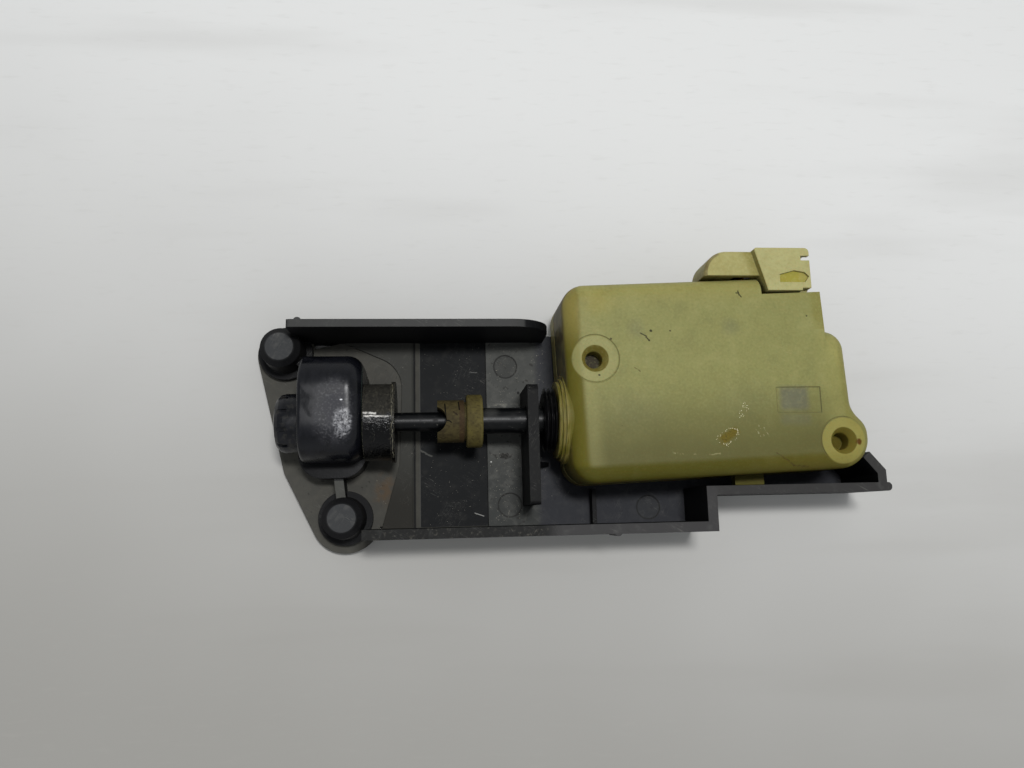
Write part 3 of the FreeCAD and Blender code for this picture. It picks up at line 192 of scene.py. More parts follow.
# Shades of each finish as they look on a screen, 0 to 255
NYLON_SHADES = {
    "speck": (52, 46, 24), "small speck": (74, 68, 38), "hair scratch": (186, 182, 140),
}
SHADES = {
    "bracket_black": {
        "deep": (13, 14, 16), "high": (20, 20, 21), "plate": (69, 68, 63), "plate dust": (80, 78, 71),
        "rust": (84, 68, 50), "plate grime": (34, 32, 29), "near floor": (60, 60, 56),
        "near floor in shade": (38, 36, 31), "far floor": (74, 75, 72), "far floor low": (52, 54, 53),
        "far floor dust": (90, 90, 86), "far floor grime": (46, 45, 42), "painted shade beside housing": (42, 43, 50),
        "ejector mark": (36, 36, 34), "pit": (10, 10, 10), "smudge": (38, 37, 34),
        "white grain": (180, 180, 175), "rubbed strip": (118, 117, 110), "band": (13, 15, 17),
        "band dust": (34, 34, 33), "step line": (74, 74, 71), "grey scratch": (84, 84, 80),
        "white scratch": (150, 150, 146), "faint scratch": (120, 120, 116), "wall": (60, 60, 59),
        "low wall": (58, 57, 57), "rear wall": (50, 49, 48), "wall by boss": (26, 26, 25),
        "dust by boss": (72, 70, 64), "wall dust": (78, 78, 76), "wall grime": (34, 34, 34),
        "guide": (15, 15, 15), "guide dust": (40, 40, 36), "boss": (56, 57, 58),
        "boss dust": (80, 80, 78), "strap": (74, 74, 70), "skirt": (7, 7, 9),
        "hair scratch": (112, 111, 106), "fleck": (150, 146, 136), "worn edge": (96, 96, 93),
    },
    "cap_gloss": {
        "deep": (10, 11, 15), "high": (17, 18, 23), "veil": (58, 58, 62), "veil grains": (84, 84, 86),
        "painted_highlight": (128, 128, 131), "painted highlight grains": (165, 165, 167), "painted glint": (210, 210, 214),
        "painted flank reflection": (50, 60, 56), "fleck": (112, 110, 104), "nose dust": (44, 43, 40),
    },
    "bush_grey": {
        "deep": (2, 2, 3), "high": (7, 7, 7), "dust and painted light": (43, 41, 35), "dust lumps and painted light": (66, 63, 53),
        "stain": (22, 20, 15), "wet lumps": (66, 64, 55), "smear": (205, 202, 196),
        "worn edge": (118, 114, 96),
    },
    "pin_black": {
        "deep": (4, 5, 6), "grime": (16, 16, 16), "painted lit top": (62, 62, 60), "fleck": (92, 90, 84),
    },
    "sleeve_tan": {
        "pale": (70, 62, 36), "brown": (52, 45, 27), "flange": (84, 76, 38), "flange end": (96, 88, 48),
        "groove": (58, 42, 26), "soaked dirt": (40, 32, 18), "dry grain": (98, 88, 54),
        "side": (50, 43, 26), "crack": (8, 7, 5), "nick": (30, 19, 10), "worn edge": (122, 112, 78),
    },
    "nylon_amber": {
        **NYLON_SHADES,
        "light grain": (160, 156, 104), "dark grain": (92, 90, 54), "far half": (131, 130, 78),
        "near half in painted shade": (90, 87, 46), "painted light far strip": (143, 137, 78), "painted light right strip": (142, 138, 80),
        "corner": (144, 135, 70), "painted highlight left strip": (138, 134, 84), "painted light on lobe": (160, 154, 92),
        "left rim amber and shade": (90, 84, 22), "left rim amber and shade far": (134, 124, 66), "near rim amber and shade": (77, 73, 19),
        "near rim amber and shade right": (92, 82, 28), "right rim": (122, 117, 58), "wall": (74, 67, 22),
        "wall grime": (62, 58, 50), "collar lines": (140, 128, 78), "painted inner shadow": (92, 94, 76),
        "painted inner shade through thin place": (96, 96, 84), "window line": (92, 88, 56), "left pad": (143, 140, 90),
        "left hole": (36, 26, 6), "right pad": (142, 134, 70), "right hole": (84, 74, 8),
        "painted well shade": (112, 100, 38), "pad line": (92, 86, 46), "rust": (84, 52, 12),
        "dark mark": (38, 34, 14), "long scratch": (66, 54, 22), "pale scuff": (152, 146, 104),
        "hair crack": (170, 166, 130), "chip": (98, 86, 20), "chip grain": (68, 60, 16),
        "worn edge": (170, 164, 112),
    },
    "nylon_pale": {
        **NYLON_SHADES,
        "light grain": (186, 182, 132), "dark grain": (122, 116, 66), "pale": (162, 155, 100),
        "dull": (152, 145, 90), "shroud": (168, 163, 112), "painted shade by shroud step": (134, 126, 66),
        "grime": (92, 78, 54), "latch": (150, 141, 48), "latch end": (160, 152, 88),
        "wall": (128, 120, 66), "foot": (96, 90, 48), "tab": (92, 94, 64), "worn edge": (190, 184, 134),
    },
    "rubber_black": {"clean": (12, 12, 13), "dusty": (44, 43, 40), "fleck": (150, 150, 144)},
    "scuff_white": {"light": (206, 202, 172), "dark": (172, 164, 118)},
    "grit_grey": {"dark": (70, 68, 62), "light": (150, 146, 134)},
    "flash_grey": {"light": (96, 92, 76), "dark": (46, 44, 36)},
    "gear_white": {"light": (226, 222, 206), "dark": (212, 207, 188)},
    "plastic_white": {"light": (222, 221, 214), "dark": (205, 203, 194)},
    "magnet": {"light": (62, 62, 64), "dark": (46, 46, 48)},
    "brass_worm": {"light": (206, 172, 104), "dark": (178, 142, 78)},
    "bronze": {"light": (186, 140, 92), "dark": (150, 108, 66)},
    "steel": {"light": (196, 197, 198), "dark": (168, 170, 172)},
    "steel_screw": {"light": (186, 186, 178), "dark": (150, 148, 138)},
    "steel_dark": {"light": (96, 97, 100), "dark": (70, 71, 74)},
    "tin": {"light": (208, 208, 206), "dark": (182, 182, 180)},
    "floor_pale": {
        "far": (222, 222, 220), "near": (160, 158, 153), "streak": (150, 147, 141),
        "fibre": (176, 174, 168),
    },
}

# Crumbs and the bush's lip: scale of the patterns that spread and crumple them, tilt and section
DRIFT_SCALE = 900.0
CRUMPLE_SCALE = 700.0
CRUMB_TILT = 0.3
LIP_FLATNESS = (0.4, 1.0, 1.0)

# How the nylon takes light: a little enters the wall, to a depth in metres
NYLON_BODY = {"Subsurface_Weight": 0.1, "Subsurface_Scale": 0.0015, "Specular_IOR_Level": 0.12}

# Metals of the inner pieces: roughness and how far their turning or grinding lines stretch
METALS = {
    "brass_worm": (0.24, (1, 12, 12)),
    "bronze": (0.38, (6, 1, 1)),
    "steel": (0.26, (6, 1, 1)),
    "steel_screw": (0.34, (6, 1, 1)),
    "steel_dark": (0.42, (1, 30, 30)),
    "tin": (0.3, (6, 1, 1)),
}
PLASTICS = ("gear_white", "plastic_white", "magnet")


def tone(shade):
    """A shade as it looks on a screen, turned into light values by the usual screen curve."""
    values = []
    for part in shade:
        share = part / 255
        values.append(share / 12.92 if share <= 0.04045 else ((share + 0.055) / 1.055) ** 2.4)
    return (*values, 1.0)


def plug(tree, socket, value):
    """Links a socket to what varies, or sets it to what is constant."""
    value = value.socket if isinstance(value, Amount) else value
    if isinstance(value, bpy.types.NodeSocket):
        tree.links.new(value, socket)
    else:
        socket.default_value = value


def add_node(tree, kind, settings=None, sockets=None):
    """Any node: its settings are set first, then the values or links of its sockets."""
    node = tree.nodes.new(kind)
    for key, value in (settings or {}).items():
        setattr(node, key, value)
    for key, value in (sockets or {}).items():
        plug(tree, node.inputs[key], value)
    return node


def add_object(name, data):
    """A new object at the origin of the scene."""
    thing = bpy.data.objects.new(name, data)
    bpy.context.scene.collection.objects.link(thing)
    return thing


class Amount:
    """A number that varies over a surface. Python's operators on it add Math nodes."""

    def __init__(self, finish, socket):
        self.finish = finish
        self.socket = socket

    def __add__(self, other):
        return self.finish.math("ADD", self, other)

    def __radd__(self, other):
        return self.finish.math("ADD", other, self)

    def __sub__(self, other):
        return self.finish.math("SUBTRACT", self, other)

    def __rsub__(self, other):
        return self.finish.math("SUBTRACT", other, self)

    def __mul__(self, other):
        return self.finish.math("MULTIPLY", self, other)

    def __rmul__(self, other):
        return self.finish.math("MULTIPLY", other, self)

    def __abs__(self):
        return self.finish.math("ABSOLUTE", self)

    def most(self, other):
        return self.finish.math("MAXIMUM", self, other)

    def least(self, other):
        return self.finish.math("MINIMUM", self, other)

    def ramp(self, start, end):
        """Smoothly 0 at start and 1 at end, and flat beyond them."""
        settings = {"interpolation_type": "SMOOTHSTEP"}
        sockets = {"Value": self, "From Min": start, "From Max": end}
        node = self.finish.node("ShaderNodeMapRange", settings, sockets)
        return Amount(self.finish, node.outputs["Result"])


class Finish:
    """A material under construction. Its patterns follow the object's own place, in millimetres."""

    def __init__(self, name):
        self.material = bpy.data.materials.new(name)
        self.material.use_nodes = True
        self.material.node_tree.nodes.clear()
        self.shades = SHADES[name]
        self.shader = self.node("ShaderNodeBsdfPrincipled")
        self.node("ShaderNodeOutputMaterial", None, {"Surface": self.shader.outputs["BSDF"]})
        coordinates = self.node("ShaderNodeTexCoord")
        self.place = self.vector("SCALE", coordinates.outputs["Object"], Scale=1 / MM)
        split = self.node("ShaderNodeSeparateXYZ", None, {"Vector": self.place})
        self.x, self.y, self.z = (Amount(self, out) for out in split.outputs)
        normal = self.node("ShaderNodeSeparateXYZ", None, {"Vector": coordinates.outputs["Normal"]})
        self.up = Amount(self, normal.outputs["Z"])
        self.rounded = None
        self.colour = None

    def node(self, kind, settings=None, sockets=None):
        return add_node(self.material.node_tree, kind, settings, sockets)

    def math(self, operation, *values):
        node = self.node("ShaderNodeMath", {"operation": operation}, dict(enumerate(values)))
        return Amount(self, node.outputs[0])

    def vector(self, operation, *values, **named):
        sockets = {**dict(enumerate(values)), **named}
        node = self.node("ShaderNodeVectorMath", {"operation": operation}, sockets)
        return node.outputs["Value" if operation in ("LENGTH", "DOT_PRODUCT") else "Vector"]

    def moved(self, place, stretch=(1, 1, 1), shift=0.0):
        """A place stretched along its axes and shifted, so that two patterns of a kind differ."""
        return self.node("ShaderNodeMapping", None, {
            "Vector": place,
            "Location": (shift, shift, shift),
            "Scale": tuple(1 / s for s in stretch),
        }).outputs["Vector"]

    def noise(self, size, detail=3.0, stretch=(1, 1, 1), shift=0.0, distortion=0.0):
        """Cloudy pattern from 0 to 1 with features of about that size."""
        node = self.node("ShaderNodeTexNoise", None, {
            "Vector": self.moved(self.place, stretch, shift),
            "Scale": 1 / size,
            "Detail": detail,
            "Distortion": distortion,
        })
        return Amount(self, node.outputs[0])

    def cells(self, size, shift=0.0):
        """Distance to the nearest cell centre, as a share of the size."""
        node = self.node("ShaderNodeTexVoronoi", {"feature": "F1"}, {
            "Vector": self.moved(self.place, shift=shift),
            "Scale": 1 / size,
        })
        return Amount(self, node.outputs["Distance"])

    def spot(self, centre, radii, wobble=0.0, grain=1.0, soft=0.5):
        """1 inside an oval and 0 outside, with an uneven edge."""
        offset = self.vector("SUBTRACT", self.place, centre)
        scaled = self.vector("DIVIDE", offset, radii)
        distance = Amount(self, self.vector("LENGTH", scaled))
        if wobble:
            distance = distance + (self.noise(grain) - 0.5) * wobble
        return distance.ramp(1.0, 1.0 - soft)

    def patch(self, zone, soft=0.3):
        """1 inside a zone seen from above and 0 outside."""
        x0, x1, y0, y1 = zone
        across = (self.x - x0).ramp(-soft, soft) * (x1 - self.x).ramp(-soft, soft)
        return across * (self.y - y0).ramp(-soft, soft) * (y1 - self.y).ramp(-soft, soft)

    def stroke(self, start, end, width, wobble=0.0):
        """1 along a thin line from start to end, seen from above."""
        run = Vector(end) - Vector(start)
        along, across = run.normalized(), run.orthogonal().normalized()
        east, north = self.x - start[0], self.y - start[1]
        if wobble:
            north = north + (self.noise(width * 4, shift=start[0]) - 0.5) * wobble
        reach = east * along.x + north * along.y
        aside = abs(east * across.x + north * across.y)
        ends = reach.ramp(-width, 0.0) * reach.ramp(run.length + width, run.length)
        return aside.ramp(width, width * STROKE_CORE) * ends

    def ring(self, centre, radius, width):
        """1 on a circle seen from above."""
        east, north = self.x - centre[0], self.y - centre[1]
        away = self.math("SQRT", east * east + north * north)
        return abs(away - radius).ramp(width, width * RING_CORE)

    def level(self, height, reach):
        """1 on faces near that height."""
        return abs(self.z - height).ramp(reach, reach * LEVEL_CORE)

    def turned(self, pivot, angle):
        """Places along and across a piece that stands turned in plan."""
        east, north = self.x - pivot[0], self.y - pivot[1]
        cos, sin = math.cos(angle), math.sin(angle)
        return east * cos + north * sin + pivot[0], north * cos - east * sin + pivot[1]

    def scratches(self, size, angle, length=14.0, shift=0.0):
        """Thin uneven lines in one direction, on faces seen from above."""
        turned = self.node("ShaderNodeVectorRotate", {"rotation_type": "Z_AXIS"}, {
            "Vector": self.place,
            "Angle": angle,
        }).outputs["Vector"]
        mapped = self.moved(turned, (length, 1.0, 1.0), shift)
        sockets = {"Vector": mapped, "Scale": 1 / size, "Detail": 1.0}
        node = self.node("ShaderNodeTexNoise", None, sockets)
        lines = abs(Amount(self, node.outputs[0]) - 0.5).ramp(0.015, 0.0)
        return lines * self.noise(length * 0.5, shift=shift + 3).ramp(0.5, 0.68)

    def specks(self, size, radius, shift=0.0, share=0.5):
        """Small scattered dots. The share is how many of the cells hold one."""
        dots = self.cells(size, shift=shift).ramp(radius / size, radius / size * DOT_CORE)
        held = self.noise(size * 2, detail=0.0, shift=shift + 7).ramp(0.98 - share, 1.02 - share)
        return dots * held

    def mix(self, amount, first, second):
        sockets = {MIX_FACTOR: amount, MIX_A: first, MIX_B: second}
        node = self.node("ShaderNodeMix", {"data_type": "RGBA", "clamp_factor": True}, sockets)
        return node.outputs[MIX_OUT]

    def base(self, amount, first, second):
        """Starts the colour: the first named shade where the amount is 0, the second where it is 1."""
        self.colour = self.mix(amount, tone(self.shades[first]), tone(self.shades[second]))

    def tint(self, amount, shade):
        """Lays a named shade over the colour so far."""
        self.colour = self.mix(amount, self.colour, tone(self.shades[shade]))

    def soften_edges(self, radius=EDGE_ROUND):
        """Rounds the shading of sharp edges, as a mould does. Returns where the edges are."""
        bevel = self.node("ShaderNodeBevel", {"samples": 6}, {"Radius": radius * MM})
        self.rounded = bevel.outputs["Normal"]
        true = self.node("ShaderNodeNewGeometry").outputs["Normal"]
        return (1 - Amount(self, self.vector("DOT_PRODUCT", self.rounded, true))).ramp(0.0, 0.2)

    def relief(self, height, depth):
        """Raises the surface by height, a pattern from 0 to 1, times depth."""
        sockets = {"Height": height, "Distance": depth * MM, "Strength": 1.0}
        if self.rounded is not None:
            sockets["Normal"] = self.rounded
        self.rounded = self.node("ShaderNodeBump", None, sockets).outputs["Normal"]

    def done(self, roughness, **constants):
        """Feeds the shader. Everything but colour, roughness and normal is constant."""
        tree = self.material.node_tree
        plug(tree, self.shader.inputs["Base Color"], self.colour)
        plug(tree, self.shader.inputs["Roughness"], roughness)
        if self.rounded is not None:
            plug(tree, self.shader.inputs["Normal"], self.rounded)
        for key, value in constants.items():
            self.shader.inputs[key.replace("_", " ")].default_value = value
        return self.material


def bracket_plate(f, flat, mottle):
    """Mounting plate: dusty, with a rust stain beside the lower boss."""
    plate = flat * f.z.ramp(PLATE_TOP + 0.3, PLATE_TOP + 0.15)
    f.tint(plate, "plate")
    f.tint(plate * mottle.ramp(0.35, 0.75) * 0.6, "plate dust")
    stain = f.spot(*RUST_STAIN, wobble=0.9, grain=2.5, soft=0.8)
    f.tint(plate * stain * mottle.ramp(0.3, 0.6) * 0.8, "rust")
    f.tint(plate * f.noise(1.6, detail=6.0, shift=12).ramp(0.62, 0.74) * 0.7, "plate grime")


def bracket_tray(f, flat, mottle):
    """Tray floor: dark on the cap's side of the band, grey and rubbed on the housing's side, with painted
    shade beside the housing.
    """
    above_plate = f.z.ramp(PLATE_TOP + 0.3, PLATE_TOP + 0.45)
    tray = flat * above_plate * f.z.ramp(TRAY_TOP + 0.4, TRAY_TOP + 0.2)
    near = tray * (BAND[0] - f.x).ramp(1.0, 2.6)
    f.tint(near, "near floor")
    f.tint(near * (f.y + 6.0).ramp(4.0, -14.0) * 0.9, "near floor in shade")
    far = tray * (f.x - BAND[1]).ramp(-0.1, 0.05)
    f.tint(far, "far floor")
    f.tint(far * f.y.ramp(-4.0, -16.0) * 0.7, "far floor low")
    f.tint(far * mottle.ramp(0.45, 0.7) * 0.6, "far floor dust")
    f.tint(far * f.noise(1.3, detail=5.0, shift=21).ramp(0.6, 0.7) * 0.8, "far floor grime")
    # Painted shade on the floor beside the housing
    f.tint(far * (f.x - SHADE_X).ramp(0.0, 2.5) * 0.75, "painted shade beside housing")
    for centre in EJECTOR_MARKS:
        f.tint(f.ring(centre, EJECTOR_RADIUS, 0.35) * far * 0.7, "ejector mark")
    f.tint(f.spot(*PIT) * 0.95, "pit")
    f.tint(far * f.spot(*SMUDGE, wobble=1.4, grain=0.8), "smudge")
    f.tint(far * f.spot(*WHITE_GRAIN), "white grain")
    f.tint(far * f.patch(RUBBED_ZONE, 0.4) * mottle.ramp(0.4, 0.6) * 0.8, "rubbed strip")


def bracket_band(f):
    """Sunk band across the tray: clean and near black, with its step's pale line and scratches."""
    band = f.patch(BAND_ZONE, 0.05) * f.z.ramp(TRAY_TOP, TRAY_TOP - 0.4)
    f.tint(band, "band")
    f.tint(band * f.noise(3.0, detail=5.0, shift=31).ramp(0.5, 0.75) * 0.7, "band dust")
    f.tint(f.stroke(*STEP_LINE, 0.2) * f.z.ramp(4.0, 3.4) * 0.8, "step line")
    for start, end, width, wobble, strength, shade in BAND_SCRATCHES:
        f.tint(f.stroke(start, end, width, wobble) * band * strength, shade)


def bracket_tops(f, flat, mottle):
    """Rubbed tops of the walls, the rod's guide, the bosses and the strap between cap and boss."""
    wall = flat * f.z.ramp(WALL_TOP - 0.7, WALL_TOP - 0.4)
    f.tint(wall, "wall")
    f.tint(wall * f.y.ramp(-16.0, -17.0), "low wall")
    f.tint(wall * f.x.ramp(106.0, 108.0) * 0.7, "rear wall")
    by_boss = wall * f.y.ramp(-20.0, -24.0) * f.x.ramp(66.0, 60.0)
    f.tint(by_boss, "wall by boss")
    f.tint(by_boss * f.noise(0.9, detail=3.0, shift=41).ramp(0.58, 0.7) * 0.8, "dust by boss")
    f.tint(wall * mottle.ramp(0.55, 0.8) * 0.5, "wall dust")
    f.tint(wall * f.noise(0.7, detail=3.0, shift=43).ramp(0.66, 0.74) * 0.6, "wall grime")
    guide = f.patch(GUIDE_ZONE, 0.1) * flat * f.level(GUIDE_TOP, 1.2)
    f.tint(guide, "guide")
    f.tint(guide * f.noise(1.2, detail=4.0, shift=45).ramp(0.55, 0.7) * 0.5, "guide dust")
    boss = flat * f.level(BOSS_TOP, 0.4) * f.x.ramp(16.0, 14.0)
    f.tint(boss, "boss")
    f.tint(boss * mottle.ramp(0.5, 0.75) * 0.6, "boss dust")
    f.tint(flat * f.level(STRAP_TOP, 0.4) * f.patch(STRAP_ZONE, 0.2), "strap")


def bracket_black():
    """Matte black moulding: dusty and rubbed on its flats, clean and near black on its walls."""
    f = Finish("bracket_black")
    edge = f.soften_edges()
    cloud = f.noise(16.0, detail=4.0)
    mottle = f.noise(2.6, detail=5.0, distortion=0.4)
    fine = f.noise(0.32, detail=2.0)
    flat = f.up.ramp(0.6, 0.95)
    f.base(cloud.ramp(0.3, 0.7), "deep", "high")
    bracket_plate(f, flat, mottle)
    bracket_tray(f, flat, mottle)
    bracket_band(f)
    bracket_tops(f, flat, mottle)
    skirt = f.patch(SKIRT_ZONE, 0.1) * f.z.ramp(3.4, 4.2) * f.z.ramp(11.6, 11.3)
    f.tint(skirt * 0.9, "skirt")
    scratched = (1 - skirt) * flat
    f.tint(scratched * f.scratches(0.5, 0.5) * 0.4, "hair scratch")
    f.tint(scratched * f.scratches(0.4, -1.1, shift=5) * 0.3, "hair scratch")
    f.tint(f.specks(3.4, 0.16, share=0.45) * flat * 0.6, "fleck")
    f.tint(edge * f.noise(3.0, shift=4).ramp(0.35, 0.7) * f.z.ramp(1.0, 4.0) * 0.32, "worn edge")
    f.relief(fine * 0.7 + mottle * 0.3, 0.03)
    return f.done(0.52 + 0.1 * cloud - 0.26 * skirt, Specular_IOR_Level=0.12)


def cap_gloss():
    """Polished black cap, greasy: a grey veil of dust over its middle, a painted highlight with wiped
    grains and a painted glint on its top, and a painted reflection down its right flank.
    """
    f = Finish("cap_gloss")
    f.soften_edges()
    smear = f.noise(3.2, detail=4.0, stretch=(1, 1.6, 1), distortion=0.6)
    grain = f.noise(0.55, detail=3.0, shift=2)
    veil = f.spot(*CAP_VEIL, wobble=0.45, grain=3.0, soft=0.65)
    f.base(smear.ramp(0.3, 0.7), "deep", "high")
    f.tint(veil * (0.35 + 0.65 * smear.ramp(0.3, 0.65)) * 0.8, "veil")
    f.tint(veil * grain.ramp(0.5, 0.68) * 0.6, "veil grains")
    # Painted highlight, with grains in it, on the cap's right side
    painted_highlight = f.spot(*CAP_PAINTED_HIGHLIGHT, wobble=0.5, grain=1.6, soft=0.4)
    f.tint(painted_highlight * grain.ramp(0.36, 0.56) * 0.7, "painted_highlight")
    f.tint(painted_highlight * f.noise(0.8, detail=2.0, shift=15).ramp(0.54, 0.6) * 0.6, "painted highlight grains")
    # Painted glint
    f.tint(f.spot(*CAP_PAINTED_GLINT), "painted glint")
    # Painted reflection down the right flank
    f.tint(f.stroke(*CAP_FLANK_REFLECTION, 0.12) * 0.6, "painted flank reflection")
    f.tint(f.specks(2.6, 0.12, share=0.4) * 0.6, "fleck")
    nose = f.x.ramp(-1.5, -1.8)
    f.tint(nose * f.noise(1.4, detail=5.0, shift=9).ramp(0.5, 0.7) * 0.6, "nose dust")
    f.relief(smear * 0.6 + grain * painted_highlight * 0.9, 0.06)
    roughness = 0.2 + 0.2 * smear.ramp(0.35, 0.7) + 0.22 * veil - 0.1 * painted_highlight
    return f.done(roughness, Specular_IOR_Level=0.25)


def bush_grey():
    """Black bush under old grease: brown dust and painted light on the upper half, painted highlight
    streaks along its top, wet and lumpy on the lower.
    """
    f = Finish("bush_grey")
    edge = f.soften_edges()
    cloud = f.noise(2.2, detail=6.0, distortion=0.8)
    lumps = f.noise(0.9, detail=4.0, distortion=1.2, shift=3)
    # Brown dust and painted light on the upper half, the side that faces the lamp
    dust_and_lit_half = (f.y - 2.6 + (cloud - 0.5) * 3.0).ramp(-0.5, 0.9) * f.up.ramp(-0.1, 0.5)
    wet = (2.2 - f.y + (cloud - 0.5) * 2.0).ramp(-0.3, 0.6)
    f.base(cloud.ramp(0.3, 0.7), "deep", "high")
    f.tint(dust_and_lit_half * (0.55 + 0.45 * lumps.ramp(0.35, 0.6)) * 0.9, "dust and painted light")
    f.tint(dust_and_lit_half * lumps.ramp(0.56, 0.7) * 0.6, "dust lumps and painted light")
    f.tint(dust_and_lit_half * f.noise(1.2, detail=5.0, shift=7).ramp(0.58, 0.68) * 0.85, "stain")
    f.tint(wet * lumps.ramp(0.62, 0.72) * 0.6, "wet lumps")
    # Painted highlight streaks along the bush's top, in the shade named smear
    painted_streaks = f.stroke(*BUSH_PAINTED_STREAKS[0]).most(f.stroke(*BUSH_PAINTED_STREAKS[1]))
    f.tint(painted_streaks * (0.4 + 0.6 * f.x.ramp(22.0, 16.5)) * lumps.ramp(0.3, 0.5), "smear")
    f.tint(edge * lumps.ramp(0.4, 0.55) * 0.7, "worn edge")
    f.relief(lumps + cloud * 0.5, 0.16)
    return f.done(0.18 + 0.55 * dust_and_lit_half + 0.1 * cloud, Specular_IOR_Level=0.22)


def pin_black():
    """Satin black rod and pin with turning lines and old grease, and painted light on the rod's upper side
    by the sleeve.
    """
    f = Finish("pin_black")
    f.soften_edges()
    rings = f.noise(0.25, detail=1.0, stretch=(1, 40, 40))
    grime = f.noise(2.5, detail=5.0, shift=2).ramp(0.5, 0.75)
    f.base(grime, "deep", "grime")
    # Painted light on the rod's upper side by the sleeve
    f.tint(f.spot(*ROD_PAINTED_LIGHT, wobble=0.8, grain=1.5, soft=0.8) * 0.6, "painted lit top")
    f.tint(f.noise(0.8, detail=4.0, shift=6).ramp(0.66, 0.74) * 0.6, "fleck")
    f.relief(rings, 0.01)
    return f.done(0.3 + 0.12 * rings + 0.25 * grime, Specular_IOR_Level=0.25)


def sleeve_tan():
    """Brittle tan sleeve: yellowed flange, browner body with cracks and soaked-in dirt, and painted shade
    on the faces that turn away from the top.
    """
    f = Finish("sleeve_tan")
    edge = f.soften_edges(FINE_ROUND)
    cloud = f.noise(2.4, detail=6.0, distortion=0.5)
    grit = f.noise(0.7, detail=5.0, shift=6)
    flange = f.x.ramp(FLANGE_X, FLANGE_X + 0.6)
    side = f.up.ramp(0.55, -0.1)
    f.base(cloud.ramp(0.3, 0.7), "pale", "brown")
    f.tint(flange * (0.5 + 0.5 * cloud.ramp(0.6, 0.3)), "flange")
    f.tint(flange * f.x.ramp(44.6, 45.6) * 0.6, "flange end")
    f.tint(f.x.ramp(39.3, 39.7) * f.x.ramp(41.0, 40.7) * 0.75, "groove")
    f.tint(grit.ramp(0.52, 0.7) * 0.55, "soaked dirt")
    f.tint(grit.ramp(0.42, 0.3) * 0.3, "dry grain")
    # Painted shade on the faces that turn away from the top
    f.tint(side * 0.5, "side")
    crack = f.stroke(*SLEEVE_CRACKS[0])
    for place in SLEEVE_CRACKS[1:]:
        crack = crack.most(f.stroke(*place))
    crack = crack * f.up.ramp(0.0, 0.3)
    f.tint(crack, "crack")
    f.tint(f.stroke(*SLEEVE_NICK, 0.3, 1.5) * 0.8, "nick")
    f.tint(edge * 0.3, "worn edge")
    f.relief(cloud * 0.6 + grit * 0.5 - crack * 3.0, 0.12)
    return f.done(0.62 + 0.15 * cloud, Specular_IOR_Level=0.15)


def aged_nylon(f, thin=1.0):
    """What all the glass-filled nylon shares: fibre grain, dark specks and hair scratches.

    Thin is 1 where the light grain shows and less where the wall is thick and deep in colour.
    """
    grain = f.noise(0.7, detail=3.0, shift=8)
    patchy = f.noise(5.0, detail=3.0, shift=2)
    fibres = f.noise(0.22, detail=1.0, stretch=(5, 1, 1), shift=3)
    f.tint(patchy.ramp(0.5, 0.75) * thin * 0.2, "light grain")
    f.tint(patchy.ramp(0.48, 0.28) * 0.16, "dark grain")
    f.tint(grain.ramp(0.48, 0.7) * thin * 0.18, "light grain")
    f.tint(grain.ramp(0.46, 0.3) * 0.16, "dark grain")
    f.tint(fibres.ramp(0.62, 0.8) * thin * 0.12, "light grain")
    f.tint(f.specks(5.5, 0.13, share=0.35) * 0.6, "speck")
    f.tint(f.specks(2.1, 0.08, shift=4, share=0.4) * 0.5, "small speck")
    f.tint(f.scratches(0.35, 0.3, length=18.0) * thin * 0.14, "hair scratch")
    f.relief(grain * 0.6 + fibres * 0.4, 0.03)


def cover_window(f, top):
    """Painted shade of the parts inside, seen through the cover's top and its thin places, and the thin
    window with its moulded line.
    """
    # Painted shade of the parts inside, seen through the nylon
    for centre, radii, strength in INNER_SHADOWS:
        f.tint(f.spot(centre, radii, wobble=0.5, grain=4.0, soft=0.9) * strength, "painted inner shadow")
    # Painted shade of the parts inside, through the thin places
    for zone, strength in THIN_PLACES:
        f.tint(f.patch(zone, 1.1) * top * strength, "painted inner shade through thin place")
    window_line = f.patch(WINDOW_OUTSIDE, 0.12) - f.patch(WINDOW_INSIDE, 0.12)
    f.tint(window_line * top * 0.4, "window line")


def cover_posts(f, top):
    """Pads of the two screw posts, paler than the cover, and their deep wells and holes darkened with
    painted shade.
    """
    # Wells and holes darkened with painted shade
    for post, side in zip(POSTS, ("left", "right")):
        f.tint(f.spot((*post, HOUSE_TOP), (6.3, 6.3, 9.0), soft=0.08) * 0.8, side + " pad")
        f.tint(f.spot((*post, HOUSE_TOP), (3.65, 3.65, 20.0), soft=0.06) * 0.9, "painted well shade")
        f.tint(f.spot((*post, 20.0), (2.5, 2.5, 7.5), soft=0.05), side + " hole")
        f.tint(f.ring(post, 6.45, 0.14) * top * 0.5, "pad line")
    f.tint(f.spot(*POST_SPOT, wobble=0.6, grain=0.6), "rust")


def cover_marks(f):
    """Specks, nicks and scratches of the cover, and the pale scuffs on its near edge."""
    dark = f.spot(*PAD_SPECK, wobble=0.5, grain=0.4)
    for x, y, radius in DARK_SPECKS:
        dark = dark.most(f.spot((x, y, HOUSE_TOP), (radius, radius * 0.8, 3.0), wobble=0.7, grain=0.4))
    for start, end in DARK_NICKS:
        dark = dark.most(f.stroke(start, end, 0.26, 0.5))
    f.tint(dark * 0.95, "dark mark")
    for start, end in LONG_SCRATCHES:
        broken = f.noise(1.0, shift=3).ramp(0.35, 0.5)
        f.tint(f.stroke(start, end, 0.28, 0.9) * broken * 0.7, "long scratch")
    broken = f.noise(1.4, detail=4.0, shift=9).ramp(0.5, 0.6)
    f.tint(f.stroke(*PALE_RUN, 0.4, 0.8) * broken * 0.6, "pale scuff")
    for x, length in HAIR_CRACKS:
        crack = f.stroke((x, HAIR_CRACK_Y), (x + 1.6, HAIR_CRACK_Y - length), 0.22, 0.6)
        f.tint(crack * f.noise(0.6, detail=3.0, shift=x).ramp(0.5, 0.62) * 0.55, "hair crack")


